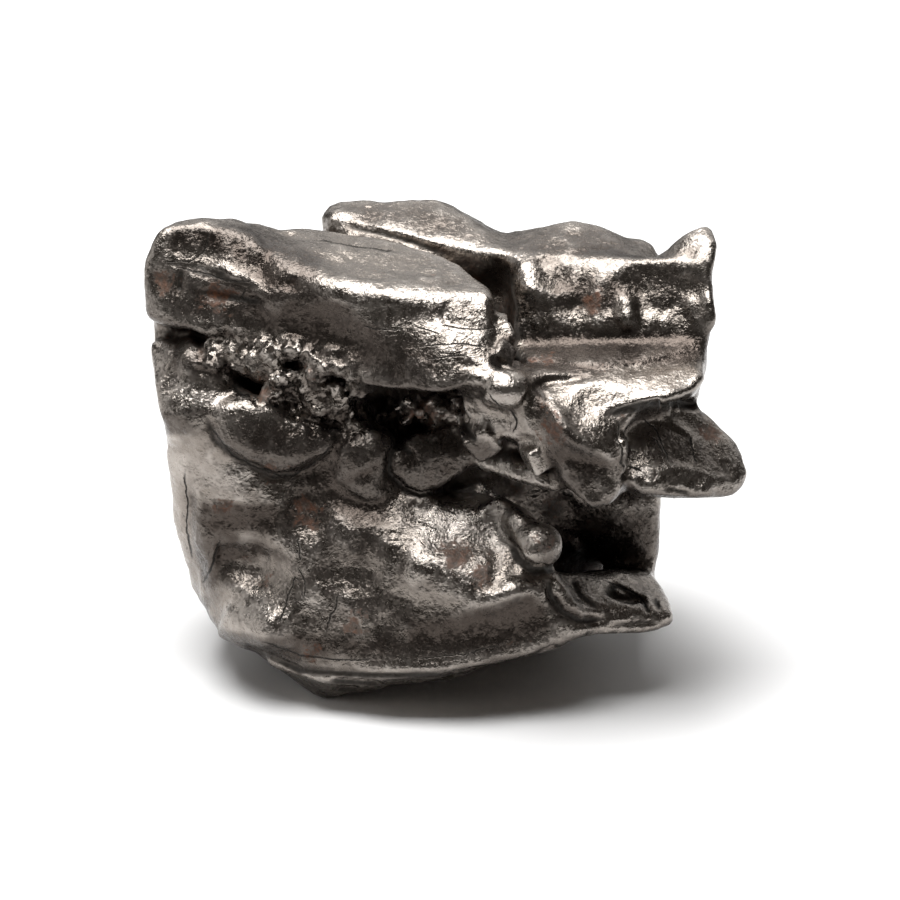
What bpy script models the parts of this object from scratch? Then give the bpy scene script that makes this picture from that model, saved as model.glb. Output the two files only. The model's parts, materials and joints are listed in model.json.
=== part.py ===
"""An iron meteorite: one shrapnel-like lump of nickel-iron, torn into stacked plates, lobes and ledges.

The lump stands on a worn flat under its lower left corner. +Z is up and the front faces -Y.
Each place on the front is given as it looks from VIEW_TILT above level: x to the right, rise up
the view, and how far back it lies. Places on the hidden sides are plain x, y and z. All are in mm.
"""

import math
import random

import bmesh
import bpy
import numpy as np
from mathutils import Matrix, Vector
from mathutils.bvhtree import BVHTree

# Driving dimensions
MM = 0.001
VIEW_TILT = math.radians(25.0)  # how far above level the front is looked at
VOXEL = 0.24 * MM  # grain of the lump while it is shaped
FINISHED_TRIANGLES = 9000
GRIT_SEED = 11
ORIGIN = (-0.2 * MM, 6.1 * MM)  # the middle of the resting face, from the tip's upright plane
IRON_COLOUR = (0.34, 0.31, 0.29, 1.0)

RISE_TO_Z = 1.0 / math.cos(VIEW_TILT)
BACK_TO_Z = -math.tan(VIEW_TILT)
LOOK = Vector((0.0, math.cos(VIEW_TILT), -math.sin(VIEW_TILT)))
UP_THE_VIEW = Vector((0.0, math.sin(VIEW_TILT), math.cos(VIEW_TILT)))

# Plates and lobes whose corners show from the front: (x, rise, back)
FRONT_BLOCKS = {
    "shelf": [
        (2.1, 20.1, 1.3), (-2.5, 20.15, 1.0), (-5.5, 20.5, 1.6), (-7.5, 21.4, 3.2),
        (-9.4, 22.7, 5.6), (-10.8, 23.8, 8.0), (2.1, 20.6, 2.5), (0.0, 22.1, 5.3),
        (-2.5, 23.0, 7.2), (-6.5, 23.75, 8.6), (2.2, 15.8, -2.3), (-0.5, 15.2, -2.1),
        (-3.5, 15.5, -0.8), (-7.0, 16.2, 1.2), (2.0, 18.0, 8.0), (-9.5, 18.5, 8.0),
    ],
    "shelf bridge": [
        (-10.8, 23.6, 7.4), (-9.4, 22.5, 5.2), (-7.6, 21.2, 3.0), (-5.6, 20.2, 1.6),
        (-5.0, 16.4, 0.2), (-7.5, 17.0, 1.4), (-10.5, 17.9, 2.4), (-11.5, 20.5, 3.8),
        (-12.0, 22.5, 5.4), (-8.0, 18.5, 9.0),
    ],
    "shelf end": [
        (-14.9, 23.1, 5.2), (-14.2, 23.75, 5.4), (-12.2, 23.85, 5.4), (-10.7, 23.6, 5.6),
        (-14.0, 23.95, 6.6), (-12.2, 24.15, 6.6), (-10.5, 24.15, 7.6),
        (-15.5, 21.7, 4.9), (-15.5, 20.0, 4.6), (-15.1, 19.0, 4.2), (-13.7, 18.8, 3.3),
        (-10.5, 17.9, 2.2), (-8.0, 17.6, 2.0), (-8.5, 20.5, 3.2), (-9.6, 22.5, 4.6),
        (-13.5, 23.0, 10.0), (-13.0, 19.0, 10.0), (-8.0, 19.0, 9.0),
    ],
    "rear crest left": [
        (-6.6, 24.3, 10.5), (-5.9, 25.0, 11.5), (-2.25, 25.35, 11.5), (0.0, 24.85, 11.3),
        (2.5, 23.6, 11.0), (-5.5, 23.8, 9.0), (-2.5, 23.3, 8.0), (0.0, 22.7, 7.2),
        (3.0, 22.3, 6.6), (-6.0, 23.5, 13.5), (2.0, 23.0, 14.0), (-5.0, 18.0, 9.0),
        (3.0, 18.0, 8.0), (-4.0, 19.5, 14.0),
    ],
    "crest step": [
        (-6.3, 23.9, 9.4), (-6.0, 24.6, 10.2), (-4.6, 24.7, 10.0), (-4.2, 23.6, 8.6),
        (-5.6, 22.5, 10.6), (-4.8, 22.8, 12.0),
    ],
    "rear crest right": [
        (2.5, 23.4, 10.0), (5.6, 23.95, 9.5), (6.5, 24.1, 9.5), (7.6, 23.7, 9.5),
        (10.3, 22.75, 9.0), (3.0, 22.5, 7.0), (5.5, 22.35, 6.3), (9.5, 22.2, 6.5),
        (3.0, 21.5, 13.5), (10.5, 21.0, 12.0), (4.0, 17.5, 8.0), (10.0, 17.5, 8.0),
    ],
    "upper wall": [
        (3.0, 22.5, 6.8), (7.5, 22.3, 6.2), (3.4, 20.2, 4.6), (3.2, 18.0, 4.0),
        (8.0, 18.0, 3.8), (12.9, 18.1, 2.8), (13.2, 20.0, 3.0), (13.2, 21.8, 4.2),
        (13.0, 22.0, 6.0), (12.0, 21.6, 10.5), (12.0, 17.5, 11.0), (3.0, 17.0, 10.0),
    ],
    "spike": [
        (12.3, 23.9, 6.5), (13.3, 23.8, 6.5), (13.5, 22.9, 5.0), (9.8, 22.0, 6.5),
        (13.3, 21.5, 3.8), (11.0, 21.8, 4.8), (12.6, 21.8, 9.0),
    ],
    "right shelf": [
        (2.8, 17.8, 4.2), (12.9, 18.05, 3.2), (5.5, 17.0, 1.4), (9.0, 17.2, 1.8),
        (12.7, 17.5, 2.2), (12.8, 16.2, 0.0), (12.2, 15.5, -1.2), (11.0, 15.1, -1.8),
        (9.5, 14.8, -2.1), (7.5, 14.1, -2.3), (4.0, 16.6, -0.2), (12.3, 14.9, 4.0),
        (4.0, 12.0, 5.0), (11.0, 15.5, 9.0), (10.5, 14.2, 3.0),
    ],
    "nose": [
        (2.2, 17.2, 0.9), (3.5, 17.0, 0.6), (2.1, 15.8, -0.9), (3.0, 15.4, -1.4),
        (4.2, 15.9, -1.0), (3.6, 14.4, -2.1), (5.5, 13.3, -3.5), (4.7, 12.6, -2.9),
        (8.0, 12.6, -3.3), (8.3, 14.0, -2.0), (9.6, 14.8, -1.3), (7.5, 16.2, 0.2),
        (5.2, 11.5, -2.8), (5.0, 14.0, 4.0), (8.0, 13.0, 4.0),
    ],
    "nose flank": [
        (2.2, 15.2, -1.1), (0.5, 15.1, -0.1), (0.7, 14.2, -0.5), (1.5, 13.6, -0.9),
        (2.8, 13.1, -1.5), (4.6, 12.7, -2.3), (4.6, 13.6, -2.2), (3.5, 14.6, -1.8),
        (2.0, 14.0, 4.0), (4.0, 12.6, 4.0),
    ],
    "tongue": [
        (5.4, 13.4, -2.8), (8.2, 12.3, -3.0), (5.2, 12.0, -2.6), (5.7, 10.8, -3.3),
        (6.3, 10.0, -3.8), (7.3, 9.65, -4.0), (8.2, 10.0, -3.7), (8.7, 10.8, -3.2),
        (7.0, 11.3, -3.6), (6.0, 11.0, 3.0), (9.0, 11.0, 3.0),
    ],
    "ear": [
        (8.4, 13.9, -0.2), (9.5, 14.2, 0.6), (12.6, 14.6, 3.0), (13.6, 13.7, 3.0),
        (14.5, 12.6, 2.0), (15.05, 11.5, 1.2), (15.0, 10.7, 0.6), (14.3, 10.1, 0.0),
        (13.0, 10.1, -1.2), (11.0, 10.2, -2.0), (9.2, 10.3, -2.5), (9.3, 11.6, -1.6),
        (11.2, 11.7, -1.0), (12.8, 11.5, -0.3), (14.4, 11.5, 0.8), (13.4, 13.2, 4.6),
        (12.6, 14.3, 5.0), (13.5, 10.2, 1.6), (9.0, 10.2, 2.5), (10.5, 10.5, 5.0),
        (11.5, 11.0, 6.0),
    ],
    "wedge": [
        (-2.9, 12.5, 1.3), (-2.0, 13.3, 1.5), (-0.9, 13.85, 1.6), (0.5, 14.2, 1.8),
        (1.1, 13.6, 1.5), (1.3, 12.4, 1.0), (0.9, 11.5, 0.7), (-0.4, 10.4, 0.5),
        (-1.4, 10.1, 0.6), (-2.5, 10.9, 0.9), (-0.8, 12.2, 0.6), (0.0, 12.0, 6.0),
        (-2.0, 12.0, 6.0),
    ],
    "under nose": [
        (1.0, 12.6, 1.6), (2.2, 12.6, 1.0), (3.4, 12.4, 0.2), (4.6, 12.0, -0.8),
        (1.2, 11.7, 0.7), (2.4, 11.3, -0.1), (3.7, 10.9, -1.1), (4.8, 10.4, -2.1),
        (5.6, 10.1, -2.8), (5.6, 11.2, -2.0), (1.5, 11.6, 2.5), (3.0, 11.2, 2.0),
        (5.0, 10.6, 1.0), (3.0, 12.0, 5.0),
    ],
    "sliver": [
        (0.1, 15.7, -0.8), (1.8, 15.9, -1.2), (1.9, 15.3, -1.3), (0.8, 15.2, -1.1),
        (0.2, 16.1, 0.0), (1.0, 15.6, 2.0),
    ],
    "cleft bed": [
        (-10.0, 16.8, 4.2), (-7.0, 16.2, 2.8), (-4.0, 15.4, 2.6), (-3.3, 14.4, 3.0),
        (-6.0, 13.8, 2.6), (-8.0, 14.6, 2.8), (-9.5, 15.6, 3.4), (-6.0, 14.0, 7.0),
    ],
    "cleft back": [
        (-3.0, 15.2, 3.2), (1.0, 15.2, 1.8), (2.0, 14.2, 1.4), (0.0, 13.6, 2.0),
        (-2.6, 14.0, 3.2), (-1.0, 14.0, 7.0),
    ],
    "left wall": [
        (-14.95, 20.0, 6.5), (-14.9, 17.8, 6.2), (-14.4, 14.0, 5.4), (-14.0, 11.0, 5.2),
        (-11.0, 18.0, 4.8), (-10.5, 15.0, 4.2), (-13.5, 20.0, 11.5), (-13.2, 11.0, 11.0),
        (-9.0, 19.0, 9.0), (-9.0, 11.0, 9.0),
    ],
    "shoulder": [
        (-15.1, 18.1, 5.0), (-15.0, 17.2, 4.2), (-14.7, 16.0, 3.2), (-14.65, 15.0, 2.4),
        (-14.5, 14.2, 2.0), (-14.2, 13.0, 2.4), (-12.5, 16.6, 3.0), (-12.0, 15.6, 2.0),
        (-12.0, 14.2, 1.3), (-13.4, 14.0, 1.4), (-12.0, 17.4, 5.0), (-10.0, 15.6, 3.2),
        (-13.0, 17.0, 9.0), (-13.0, 11.0, 9.0), (-9.0, 12.5, 8.0), (-12.0, 12.0, 1.6),
    ],
    "pillow": [
        (-12.3, 14.3, 1.9), (-11.7, 15.2, 2.5), (-10.0, 15.5, 2.7), (-8.2, 15.0, 2.4),
        (-7.4, 13.9, 2.0), (-7.6, 12.4, 1.2), (-9.0, 11.4, 0.9), (-10.5, 12.0, 0.9),
        (-11.9, 13.0, 1.1), (-11.5, 14.6, 1.2), (-10.0, 14.9, 1.0), (-8.5, 14.4, 1.1),
        (-10.3, 12.7, 0.2), (-9.0, 12.1, 0.1), (-11.0, 15.0, 7.0), (-8.0, 12.0, 7.0),
    ],
    "pillow end": [
        (-8.4, 14.1, 1.2), (-6.2, 13.7, 1.8), (-5.3, 13.2, 1.5), (-6.0, 12.5, 0.8),
        (-7.2, 11.8, 0.4), (-8.5, 11.2, 0.6), (-9.0, 12.4, 0.2), (-7.2, 13.4, 0.8),
        (-7.0, 12.5, 6.0),
    ],
    "under pillow": [
        (-9.0, 11.6, 1.5), (-7.4, 12.2, 1.7), (-5.2, 12.6, 1.6), (-4.6, 10.6, 1.5),
        (-5.6, 9.6, 1.0), (-8.4, 9.4, 1.0), (-7.0, 11.0, 6.0),
    ],
    "dome": [
        (-6.2, 13.4, 2.8), (-5.3, 14.25, 2.8), (-4.0, 14.2, 2.5), (-3.0, 13.7, 2.2),
        (-2.6, 12.9, 1.8), (-2.7, 11.6, 1.4), (-3.0, 10.0, 1.0), (-6.0, 12.4, 1.5),
        (-6.0, 10.8, 1.2), (-4.9, 13.8, 1.6), (-3.7, 13.6, 1.4), (-3.4, 12.2, 0.8),
        (-4.8, 12.2, 0.8), (-4.6, 10.2, 0.3), (-3.6, 10.2, 0.4),
        (-6.0, 13.0, 7.0), (-3.0, 12.0, 7.0),
    ],
    "flank": [
        (-14.3, 13.4, 3.0), (-14.05, 10.0, 3.4), (-13.8, 8.5, 3.6), (-13.4, 7.0, 4.0),
        (-12.8, 5.2, 4.6), (-11.9, 3.9, 5.2), (-12.6, 9.5, 1.7), (-12.2, 13.0, 1.5),
        (-10.0, 12.0, 1.3), (-8.0, 11.2, 1.2), (-8.6, 9.6, 0.8), (-9.5, 8.0, 0.7),
        (-12.2, 7.0, 1.6), (-12.5, 8.0, 10.0), (-8.0, 9.0, 6.0),
    ],
    "apron": [
        (-8.2, 9.8, 0.8), (-6.2, 10.2, 1.2), (-4.0, 10.6, 1.4), (-1.5, 10.3, 2.6),
        (0.0, 10.45, 3.3), (1.5, 10.6, 3.4), (2.5, 10.2, 2.6), (4.0, 9.0, 0.2),
        (4.3, 6.2, -1.8), (-12.4, 7.4, 1.6), (-12.3, 5.5, 2.4), (-10.8, 3.0, 1.4),
        (-12.7, 5.1, 3.6), (-11.7, 3.8, 4.0),
        (-9.0, 1.8, -0.2), (-6.0, 0.9, -1.8), (-3.0, 1.1, -3.0), (1.0, 1.5, -3.4),
        (5.0, 2.4, -2.8), (7.2, 3.4, -2.2), (5.0, 5.8, -2.0), (3.4, 5.6, -2.3),
        (0.8, 4.4, -2.6), (0.6, 6.4, -1.8), (-2.0, 6.8, -1.2), (-4.0, 5.5, -1.0),
        (-4.2, 3.2, -2.2), (-7.5, 5.0, -0.4), (-9.4, 5.2, 0.0), (-8.6, 3.2, -1.1), (-6.3, 0.0, 0.3),
        (-9.5, 2.2, 5.0), (5.0, 5.0, 8.0), (-11.2, 5.5, 8.0), (5.5, 3.5, 6.0),
    ],
    "cavity wall": [
        (10.65, 10.6, 6.5), (10.6, 9.0, 6.2), (10.3, 6.4, 6.0), (9.6, 6.2, 6.2),
        (8.3, 6.2, 6.8), (7.0, 7.2, 7.2), (6.0, 8.8, 6.6), (5.6, 9.8, 6.0),
        (8.5, 9.5, 5.8), (6.5, 11.0, 6.5), (10.5, 9.5, 12.0), (9.8, 7.0, 12.0),
        (6.0, 9.0, 12.0),
    ],
    "foot": [
        (4.8, 6.3, 0.2), (7.0, 6.3, 1.6), (10.2, 6.4, 4.4), (10.6, 5.4, 2.4),
        (11.3, 4.3, 0.6), (11.3, 3.7, 0.4), (10.0, 3.4, -0.6), (8.6, 3.5, -1.0),
        (7.0, 3.2, -1.6), (5.5, 3.0, -2.2), (6.0, 4.8, -1.4), (10.0, 6.5, 8.0),
        (6.0, 5.2, 8.0),
    ],
}

# The mass behind them, and the plates and ledges of the hidden sides: (x, y, z)
HIDDEN_BLOCKS = {
    "core": [
        (-8.6, 5.0, -0.4), (-6.4, 0.8, -0.4), (-2.0, 2.6, -0.4), (2.4, 5.0, -0.4),
        (3.6, 8.2, -0.4), (1.0, 10.4, -0.4), (-5.6, 10.4, -0.4), (-8.6, 8.4, -0.4),
        (6.2, 8.0, 0.9), (5.8, 11.2, 1.3), (-8.2, 11.6, 1.6), (-10.2, 8.2, 0.9),
        (-11.8, 6.5, 5.0), (-11.5, 11.0, 5.0), (9.0, 9.0, 4.5), (8.5, 12.0, 5.0),
        (0.0, 13.0, 5.0), (-13.2, 6.5, 12.0), (-12.5, 11.5, 12.0), (10.0, 9.0, 11.0),
        (10.5, 12.0, 12.0), (0.0, 13.6, 12.0), (-13.0, 6.5, 19.5), (-11.0, 12.0, 19.3),
        (12.0, 7.5, 18.3), (11.2, 11.5, 17.6), (0.0, 13.3, 19.3), (6.0, 12.6, 18.0),
    ],
    "back slab": [
        (-12.4, 11.5, 16.6), (-11.0, 14.6, 14.6), (-3.0, 16.2, 11.6), (4.6, 15.8, 9.0),
        (9.4, 13.4, 8.4), (10.2, 13.2, 10.8), (4.0, 15.6, 13.4), (-4.0, 15.4, 17.2),
        (-9.0, 14.2, 18.6), (-12.0, 11.8, 18.8), (-8.0, 8.0, 15.0), (6.0, 8.0, 10.0),
    ],
    "back ledge": [
        (-10.4, 12.0, 4.2), (-9.2, 14.4, 6.2), (-5.0, 15.6, 7.6), (1.0, 15.2, 6.0),
        (5.0, 13.6, 3.4), (4.0, 12.0, 1.6), (-2.0, 13.8, 2.2), (-7.6, 12.6, 1.8),
        (-6.0, 8.0, 5.0), (2.0, 8.0, 3.0),
    ],
    "back shoulder": [
        (5.4, 14.6, 14.0), (9.6, 13.4, 13.0), (11.6, 11.0, 15.4), (10.0, 12.4, 17.6),
        (6.6, 14.2, 17.4), (2.6, 14.4, 18.0), (3.6, 14.8, 15.2), (7.0, 8.0, 15.0),
    ],
    "left boss": [
        (-13.6, 8.4, 11.0), (-13.9, 9.6, 8.4), (-12.9, 11.4, 6.6), (-12.2, 12.8, 9.4),
        (-12.8, 11.4, 12.4), (-11.6, 7.8, 6.0), (-9.0, 9.0, 9.0),
    ],
}

# Rounded lobes on the front: (x, rise, back), then half-widths across, up the view and in depth
LOBES = {
    "knob": ((2.8, 15.6, -1.2), (0.95, 0.95, 1.25)),
    "ball": ((4.35, 7.75, -1.2), (1.3, 1.3, 1.3)),
    "ball neck": ((3.4, 9.0, 0.0), (0.9, 0.8, 1.0)),
    "neck end": ((2.5, 9.7, 0.9), (0.7, 0.6, 0.8)),
}

# Loose-looking crystals wedged in the cleft: (x, rise, back), then the half-size of the patch
RUBBLE = [
    ((-9.2, 17.0, 2.6), (0.6, 0.4, 0.4)), ((-7.8, 16.2, 2.2), (0.9, 0.8, 0.5)),
    ((-6.4, 15.4, 2.2), (0.9, 0.9, 0.5)), ((-5.2, 15.2, 1.9), (0.8, 0.9, 0.5)),
    ((-6.9, 14.2, 2.7), (0.8, 0.5, 0.4)), ((-4.2, 15.8, 1.2), (0.5, 0.4, 0.4)),
    ((-5.6, 14.4, 2.7), (0.7, 0.5, 0.4)),
]

# Tool marks on the front: profile, half-width, height (below zero is cut in), then (x, rise) along it
BOLD_MARKS = {
    "shelf trough": ("round", 1.8, -0.6, [(-12.0, 18.9), (-8.0, 18.4), (-5.0, 17.8), (-2.8, 17.0)]),
    "end pocket": ("round", 1.1, -0.5, [(-13.2, 22.6), (-12.2, 22.4)]),
    "end ledge": ("round", 0.5, 0.3, [(-14.6, 21.9), (-12.0, 21.5), (-11.0, 21.25), (-9.5, 20.6)]),
    "end square": ("round", 0.9, -0.3, [(-14.9, 21.0), (-13.7, 20.8)]),
    "end hollow": ("round", 0.9, -0.3, [(-12.6, 20.3), (-10.4, 20.1)]),
    "end rim": ("round", 0.5, 0.3, [(-13.4, 18.9), (-11.2, 18.0), (-9.2, 17.6)]),
    "wall bowl": ("round", 2.9, -0.7, [(9.6, 20.3), (11.2, 20.1)]),
    "bowl lip": ("round", 0.9, 0.35, [(7.9, 21.1), (9.2, 21.8), (10.7, 21.9), (12.0, 21.6), (12.8, 21.0)]),
    "bowl edge": ("round", 0.7, 0.4, [(12.9, 20.6), (12.9, 19.0), (12.8, 18.4)]),
    "wall fold": ("round", 0.8, 0.5, [(8.6, 20.4), (8.8, 18.7)]),
    "wall crease": ("round", 0.8, -0.4, [(7.0, 21.4), (6.5, 20.2), (6.2, 18.8)]),
    "wall fold left": ("round", 0.6, 0.4, [(3.6, 22.2), (4.0, 20.8), (4.4, 20.0)]),
    "wall hollow": ("round", 0.9, -0.4, [(5.2, 21.8), (5.6, 20.6)]),
    "shelf lip": ("round", 0.5, -0.25, [(2.8, 17.1), (5.5, 16.8), (7.0, 16.3)]),
    "nose pocket": ("round", 0.6, -0.35, [(4.4, 15.8), (5.6, 15.9), (6.8, 16.2)]),
    "nose ridge": ("round", 0.6, 0.4, [(4.9, 14.8), (5.6, 13.6), (6.2, 13.0), (8.1, 12.1)]),
    "nose valley": ("round", 0.7, -0.25, [(4.0, 15.0), (4.3, 13.8), (4.7, 13.0)]),
    "ear crack": ("sharp", 0.4, -0.3, [(8.35, 13.7), (8.4, 12.7), (8.8, 11.8), (9.7, 11.7)]),
    "ear step": ("round", 0.45, 0.25, [(9.0, 14.0), (10.6, 14.0), (12.0, 13.1), (12.1, 12.2)]),
    "foot curl": ("round", 0.4, -0.35, [(4.9, 6.0), (5.3, 4.75), (6.2, 3.95), (7.5, 4.0)]),
    "foot fold": ("round", 0.45, 0.3, [(6.1, 5.8), (6.7, 5.0), (7.6, 4.6)]),
    "foot hole": ("round", 0.7, -0.7, [(8.3, 5.4), (9.1, 5.1)]),
    "dish": ("round", 1.4, -0.4, [(-7.3, 9.9), (-6.8, 8.9)]),
    "dome pit": ("round", 0.9, -0.3, [(-7.2, 11.0), (-6.2, 11.6)]),
    "pillow crease": ("sharp", 0.5, -0.35, [(-11.4, 12.2), (-10.2, 11.9), (-8.5, 11.0), (-7.2, 11.3), (-5.4, 12.9)]),
    "left crease": ("round", 0.6, -0.3, [(-13.3, 11.4), (-13.1, 9.2), (-13.1, 7.4)]),
    "left dent": ("round", 1.8, -0.45, [(-10.8, 6.8), (-9.2, 6.4)]),
    "left swell": ("round", 1.5, 0.3, [(-10.4, 3.9), (-8.8, 3.4)]),
    "middle dent": ("round", 1.6, -0.35, [(-5.6, 6.6), (-4.4, 6.4)]),
    "apron valley": ("round", 1.2, -0.3, [(2.2, 8.8), (1.9, 7.6)]),
    "rust hollow": ("round", 1.3, -0.3, [(0.8, 6.6), (1.8, 6.3)]),
    "apron ridge": ("round", 0.9, 0.35, [(0.6, 4.4), (2.4, 5.1), (4.0, 5.7)]),
    "apron trough": ("round", 1.3, -0.2, [(-1.5, 3.0), (1.5, 3.2), (4.6, 3.9)]),
    "ball seat": ("round", 0.6, -0.5, [(2.9, 7.6), (3.2, 6.6), (4.1, 6.1), (5.0, 6.3)]),
    "rim": ("round", 0.5, 0.3, [
        (-11.0, 2.9), (-8.6, 1.6), (-6.0, 1.1), (-3.0, 1.2), (1.0, 1.5), (5.0, 2.4), (7.6, 3.3),
    ]),
}

# Tool marks on the hidden sides, in plain x, y, z: profile, half-width, height, direction of the
# look at that side, then points outside the skin along the mark
HIDDEN_MARKS = {
    "back scoop high": ("round", 3.2, -1.3, (0, -1, 0), [(-5.5, 40, 14.5), (-3.0, 40, 14.0)]),
    "back scoop mid": ("round", 2.6, -1.1, (0, -1, 0), [(2.8, 40, 12.0), (4.6, 40, 11.0)]),
    "back scoop low": ("round", 2.4, -1.0, (0, -1, 0), [(-3.6, 40, 5.0), (-1.4, 40, 4.4)]),
    "back ridge": ("round", 0.8, 0.5, (0, -1, 0), [(-9.5, 40, 16.5), (-6.0, 40, 17.6), (-1.0, 40, 16.6)]),
    "back crack": ("sharp", 0.5, -0.6, (0, -1, 0), [(-1.5, 40, 16.0), (-0.6, 40, 13.0), (0.6, 40, 11.4)]),
    "back dint": ("round", 1.4, -0.7, (0, -1, 0), [(8.0, 40, 15.2), (8.6, 40, 14.6)]),
    "left scoop": ("round", 2.2, -0.9, (1, 0, 0), [(-40, 8.6, 15.2), (-40, 9.4, 14.0)]),
    "left crack": ("sharp", 0.5, -0.5, (1, 0, 0), [(-40, 7.0, 11.5), (-40, 7.6, 8.0), (-40, 8.6, 5.4)]),
    "right scoop": ("round", 2.2, -1.0, (-1, 0, 0), [(40, 7.6, 15.0), (40, 9.0, 14.6)]),
    "right scoop low": ("round", 2.0, -0.8, (-1, 0, 0), [(40, 9.6, 8.0), (40, 10.4, 7.0)]),
    "right ridge": ("round", 0.7, 0.4, (-1, 0, 0), [(40, 6.4, 17.6), (40, 8.4, 17.0), (40, 10.4, 16.4)]),
    "under scoop": ("round", 2.6, -1.0, (0, 0, 1), [(1.0, 1.4, -40), (4.2, 2.2, -40)]),
    "under scoop right": ("round", 2.0, -0.8, (0, 0, 1), [(8.0, 5.0, -40), (8.6, 7.0, -40)]),
    "under ridge": ("round", 0.8, 0.4, (0, 0, 1), [(-2.0, -0.6, -40), (2.0, -0.2, -40), (6.0, 1.6, -40)]),
    "crest scoop": ("round", 1.6, -0.5, (0, 0, -1), [(-4.0, 12.0, 40), (-1.6, 12.2, 40)]),
    "crest scoop right": ("round", 1.5, -0.5, (0, 0, -1), [(6.0, 11.6, 40), (8.4, 11.2, 40)]),
}


def seen(x, rise, back):
    """The place that the front view shows at x and rise, lying back from the tip's upright plane."""
    return Vector((x, back, rise * RISE_TO_Z + back * BACK_TO_Z)) * MM


def clear_scene():
    for obj in list(bpy.data.objects):
        bpy.data.objects.remove(obj, do_unlink=True)


def hull(points):
    """A closed block with these corners."""
    shape = bmesh.new()
    for point in points:
        shape.verts.new(point)
    made = bmesh.ops.convex_hull(shape, input=shape.verts)
    inside = {g for g in made["geom_interior"] + made["geom_unused"] if isinstance(g, bmesh.types.BMVert)}
    bmesh.ops.delete(shape, geom=list(inside), context="VERTS")
    return shape


def lobe(middle, half):
    """A ball stretched across, up the view and in depth."""
    shape = bmesh.new()
    bmesh.ops.create_icosphere(shape, subdivisions=4, radius=1.0)
    for vert in shape.verts:
        across, depth, up = vert.co
        vert.co = middle + MM * (
            Vector((1.0, 0.0, 0.0)) * across * half[0]
            + UP_THE_VIEW * up * half[1]
            + LOOK * depth * half[2]
        )
    return shape


def gathered(shapes):
    """One mesh that holds every shape."""
    mesh = bpy.data.meshes.new("meteorite")
    whole = bmesh.new()
    for shape in shapes:
        shape.to_mesh(mesh)
        whole.from_mesh(mesh)
        shape.free()
    bmesh.ops.recalc_face_normals(whole, faces=whole.faces)
    whole.to_mesh(mesh)
    whole.free()
    return mesh


def applied(obj):
    """The object's mesh with its modifiers applied, and the modifiers gone."""
    graph = bpy.context.evaluated_depsgraph_get()
    mesh = bpy.data.meshes.new_from_object(obj.evaluated_get(graph))
    obj.modifiers.clear()
    obj.data = mesh
    return mesh


def fuse(obj, voxel, rounds):
    """Grows the shapes together into one skin and wears its corners round."""
    remesh = obj.modifiers.new("fuse", "REMESH")
    remesh.mode = "VOXEL"
    remesh.voxel_size = voxel
    wear = obj.modifiers.new("wear", "SMOOTH")
    wear.factor = 0.5
    wear.iterations = rounds
    applied(obj)


PROFILES = {
    "round": lambda q: (1.0 - q * q) ** 2,
    "sharp": lambda q: (1.0 - q) ** 1.5,
}


def along(path, spacing):
    """Points spaced along a path."""
    points = []
    for start, end in zip(path, path[1:]):
        count = max(1, round(math.dist(start, end) / spacing))
        points += [tuple(a + (b - a) * i / count for a, b in zip(start, end)) for i in range(count)]
    return points + [path[-1]]


def points_of(mesh):
    co = np.empty(len(mesh.vertices) * 3, np.float32)
    mesh.vertices.foreach_get("co", co)
    return co.reshape(-1, 3).astype(float)


def normals_of(mesh):
    flat = np.empty(len(mesh.vertices) * 3, np.float32)
    mesh.vertex_normals.foreach_get("vector", flat)
    return flat.reshape(-1, 3).astype(float)


def from_the_front(marks):
    """The front marks, each step given as a place outside the skin and a direction to it."""
    for profile, width, height, path in marks.values():
        steps = along(path, 0.5 * width)
        yield profile, width, height, [(seen(x, rise, -40.0), LOOK) for x, rise in steps]


def from_a_side(marks):
    for profile, width, height, look, path in marks.values():
        steps = along(path, 0.5 * width)
        yield profile, width, height, [(Vector(p) * MM, Vector(look)) for p in steps]


def mark(obj, marks):
    """Works every mark into the skin, each measured from the skin as it was before them."""
    mesh = obj.data
    co, normal = points_of(mesh), normals_of(mesh)
    tree = BVHTree.FromPolygons([v.co for v in mesh.vertices], [tuple(p.vertices) for p in mesh.polygons])
    moved = np.zeros_like(co)
    for profile, width, height, steps in marks:
        hits = [tree.ray_cast(*step) for step in steps]
        kept = [(i, hit[0]) for i, hit in enumerate(hits) if hit[0] is not None]
        if not kept:
            continue
        reach = width * MM
        line = np.array([point for _, point in kept])
        share = np.array([i for i, _ in kept], float) / max(1, len(steps) - 1)
        ends = np.clip(np.minimum(share, 1.0 - share) * 4.0 + 0.25, 0.0, 1.0) if len(steps) > 3 else share * 0 + 1
        near = np.all((co > line.min(0) - reach) & (co < line.max(0) + reach), axis=1).nonzero()[0]
        apart = np.linalg.norm(co[near, None, :] - line[None, :, :], axis=2)
        nearest = apart.argmin(1)
        q = apart.min(1) / reach
        inside = q < 1.0
        near, nearest, q = near[inside], nearest[inside], q[inside]
        push = np.zeros((len(line), 3))
        np.add.at(push, nearest, normal[near] * (1.0 - q)[:, None])
        push = np.array([push[max(0, i - 1) : i + 2].sum(0) for i in range(len(line))])
        push /= np.maximum(np.linalg.norm(push, axis=1), 1e-9)[:, None]
        amount = height * MM * PROFILES[profile](q) * ends[nearest]
        moved[near] += push[nearest] * amount[:, None]
    mesh.vertices.foreach_set("co", (co + moved).astype(np.float32).ravel())
    mesh.update()


def crumbs():
    """Small angular crystals in the cleft."""
    rng = random.Random(GRIT_SEED)
    shapes = []
    for middle, half in RUBBLE:
        for _ in range(6):
            place = seen(*(m + rng.uniform(-h, h) for m, h in zip(middle, half)))
            size = rng.uniform(0.35, 0.75) * MM
            corners = [
                place + size * Vector([rng.uniform(-1.0, 1.0) for _ in range(3)]).normalized()
                for _ in range(8)
            ]
            shapes.append(hull(corners))
    return shapes


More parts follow.
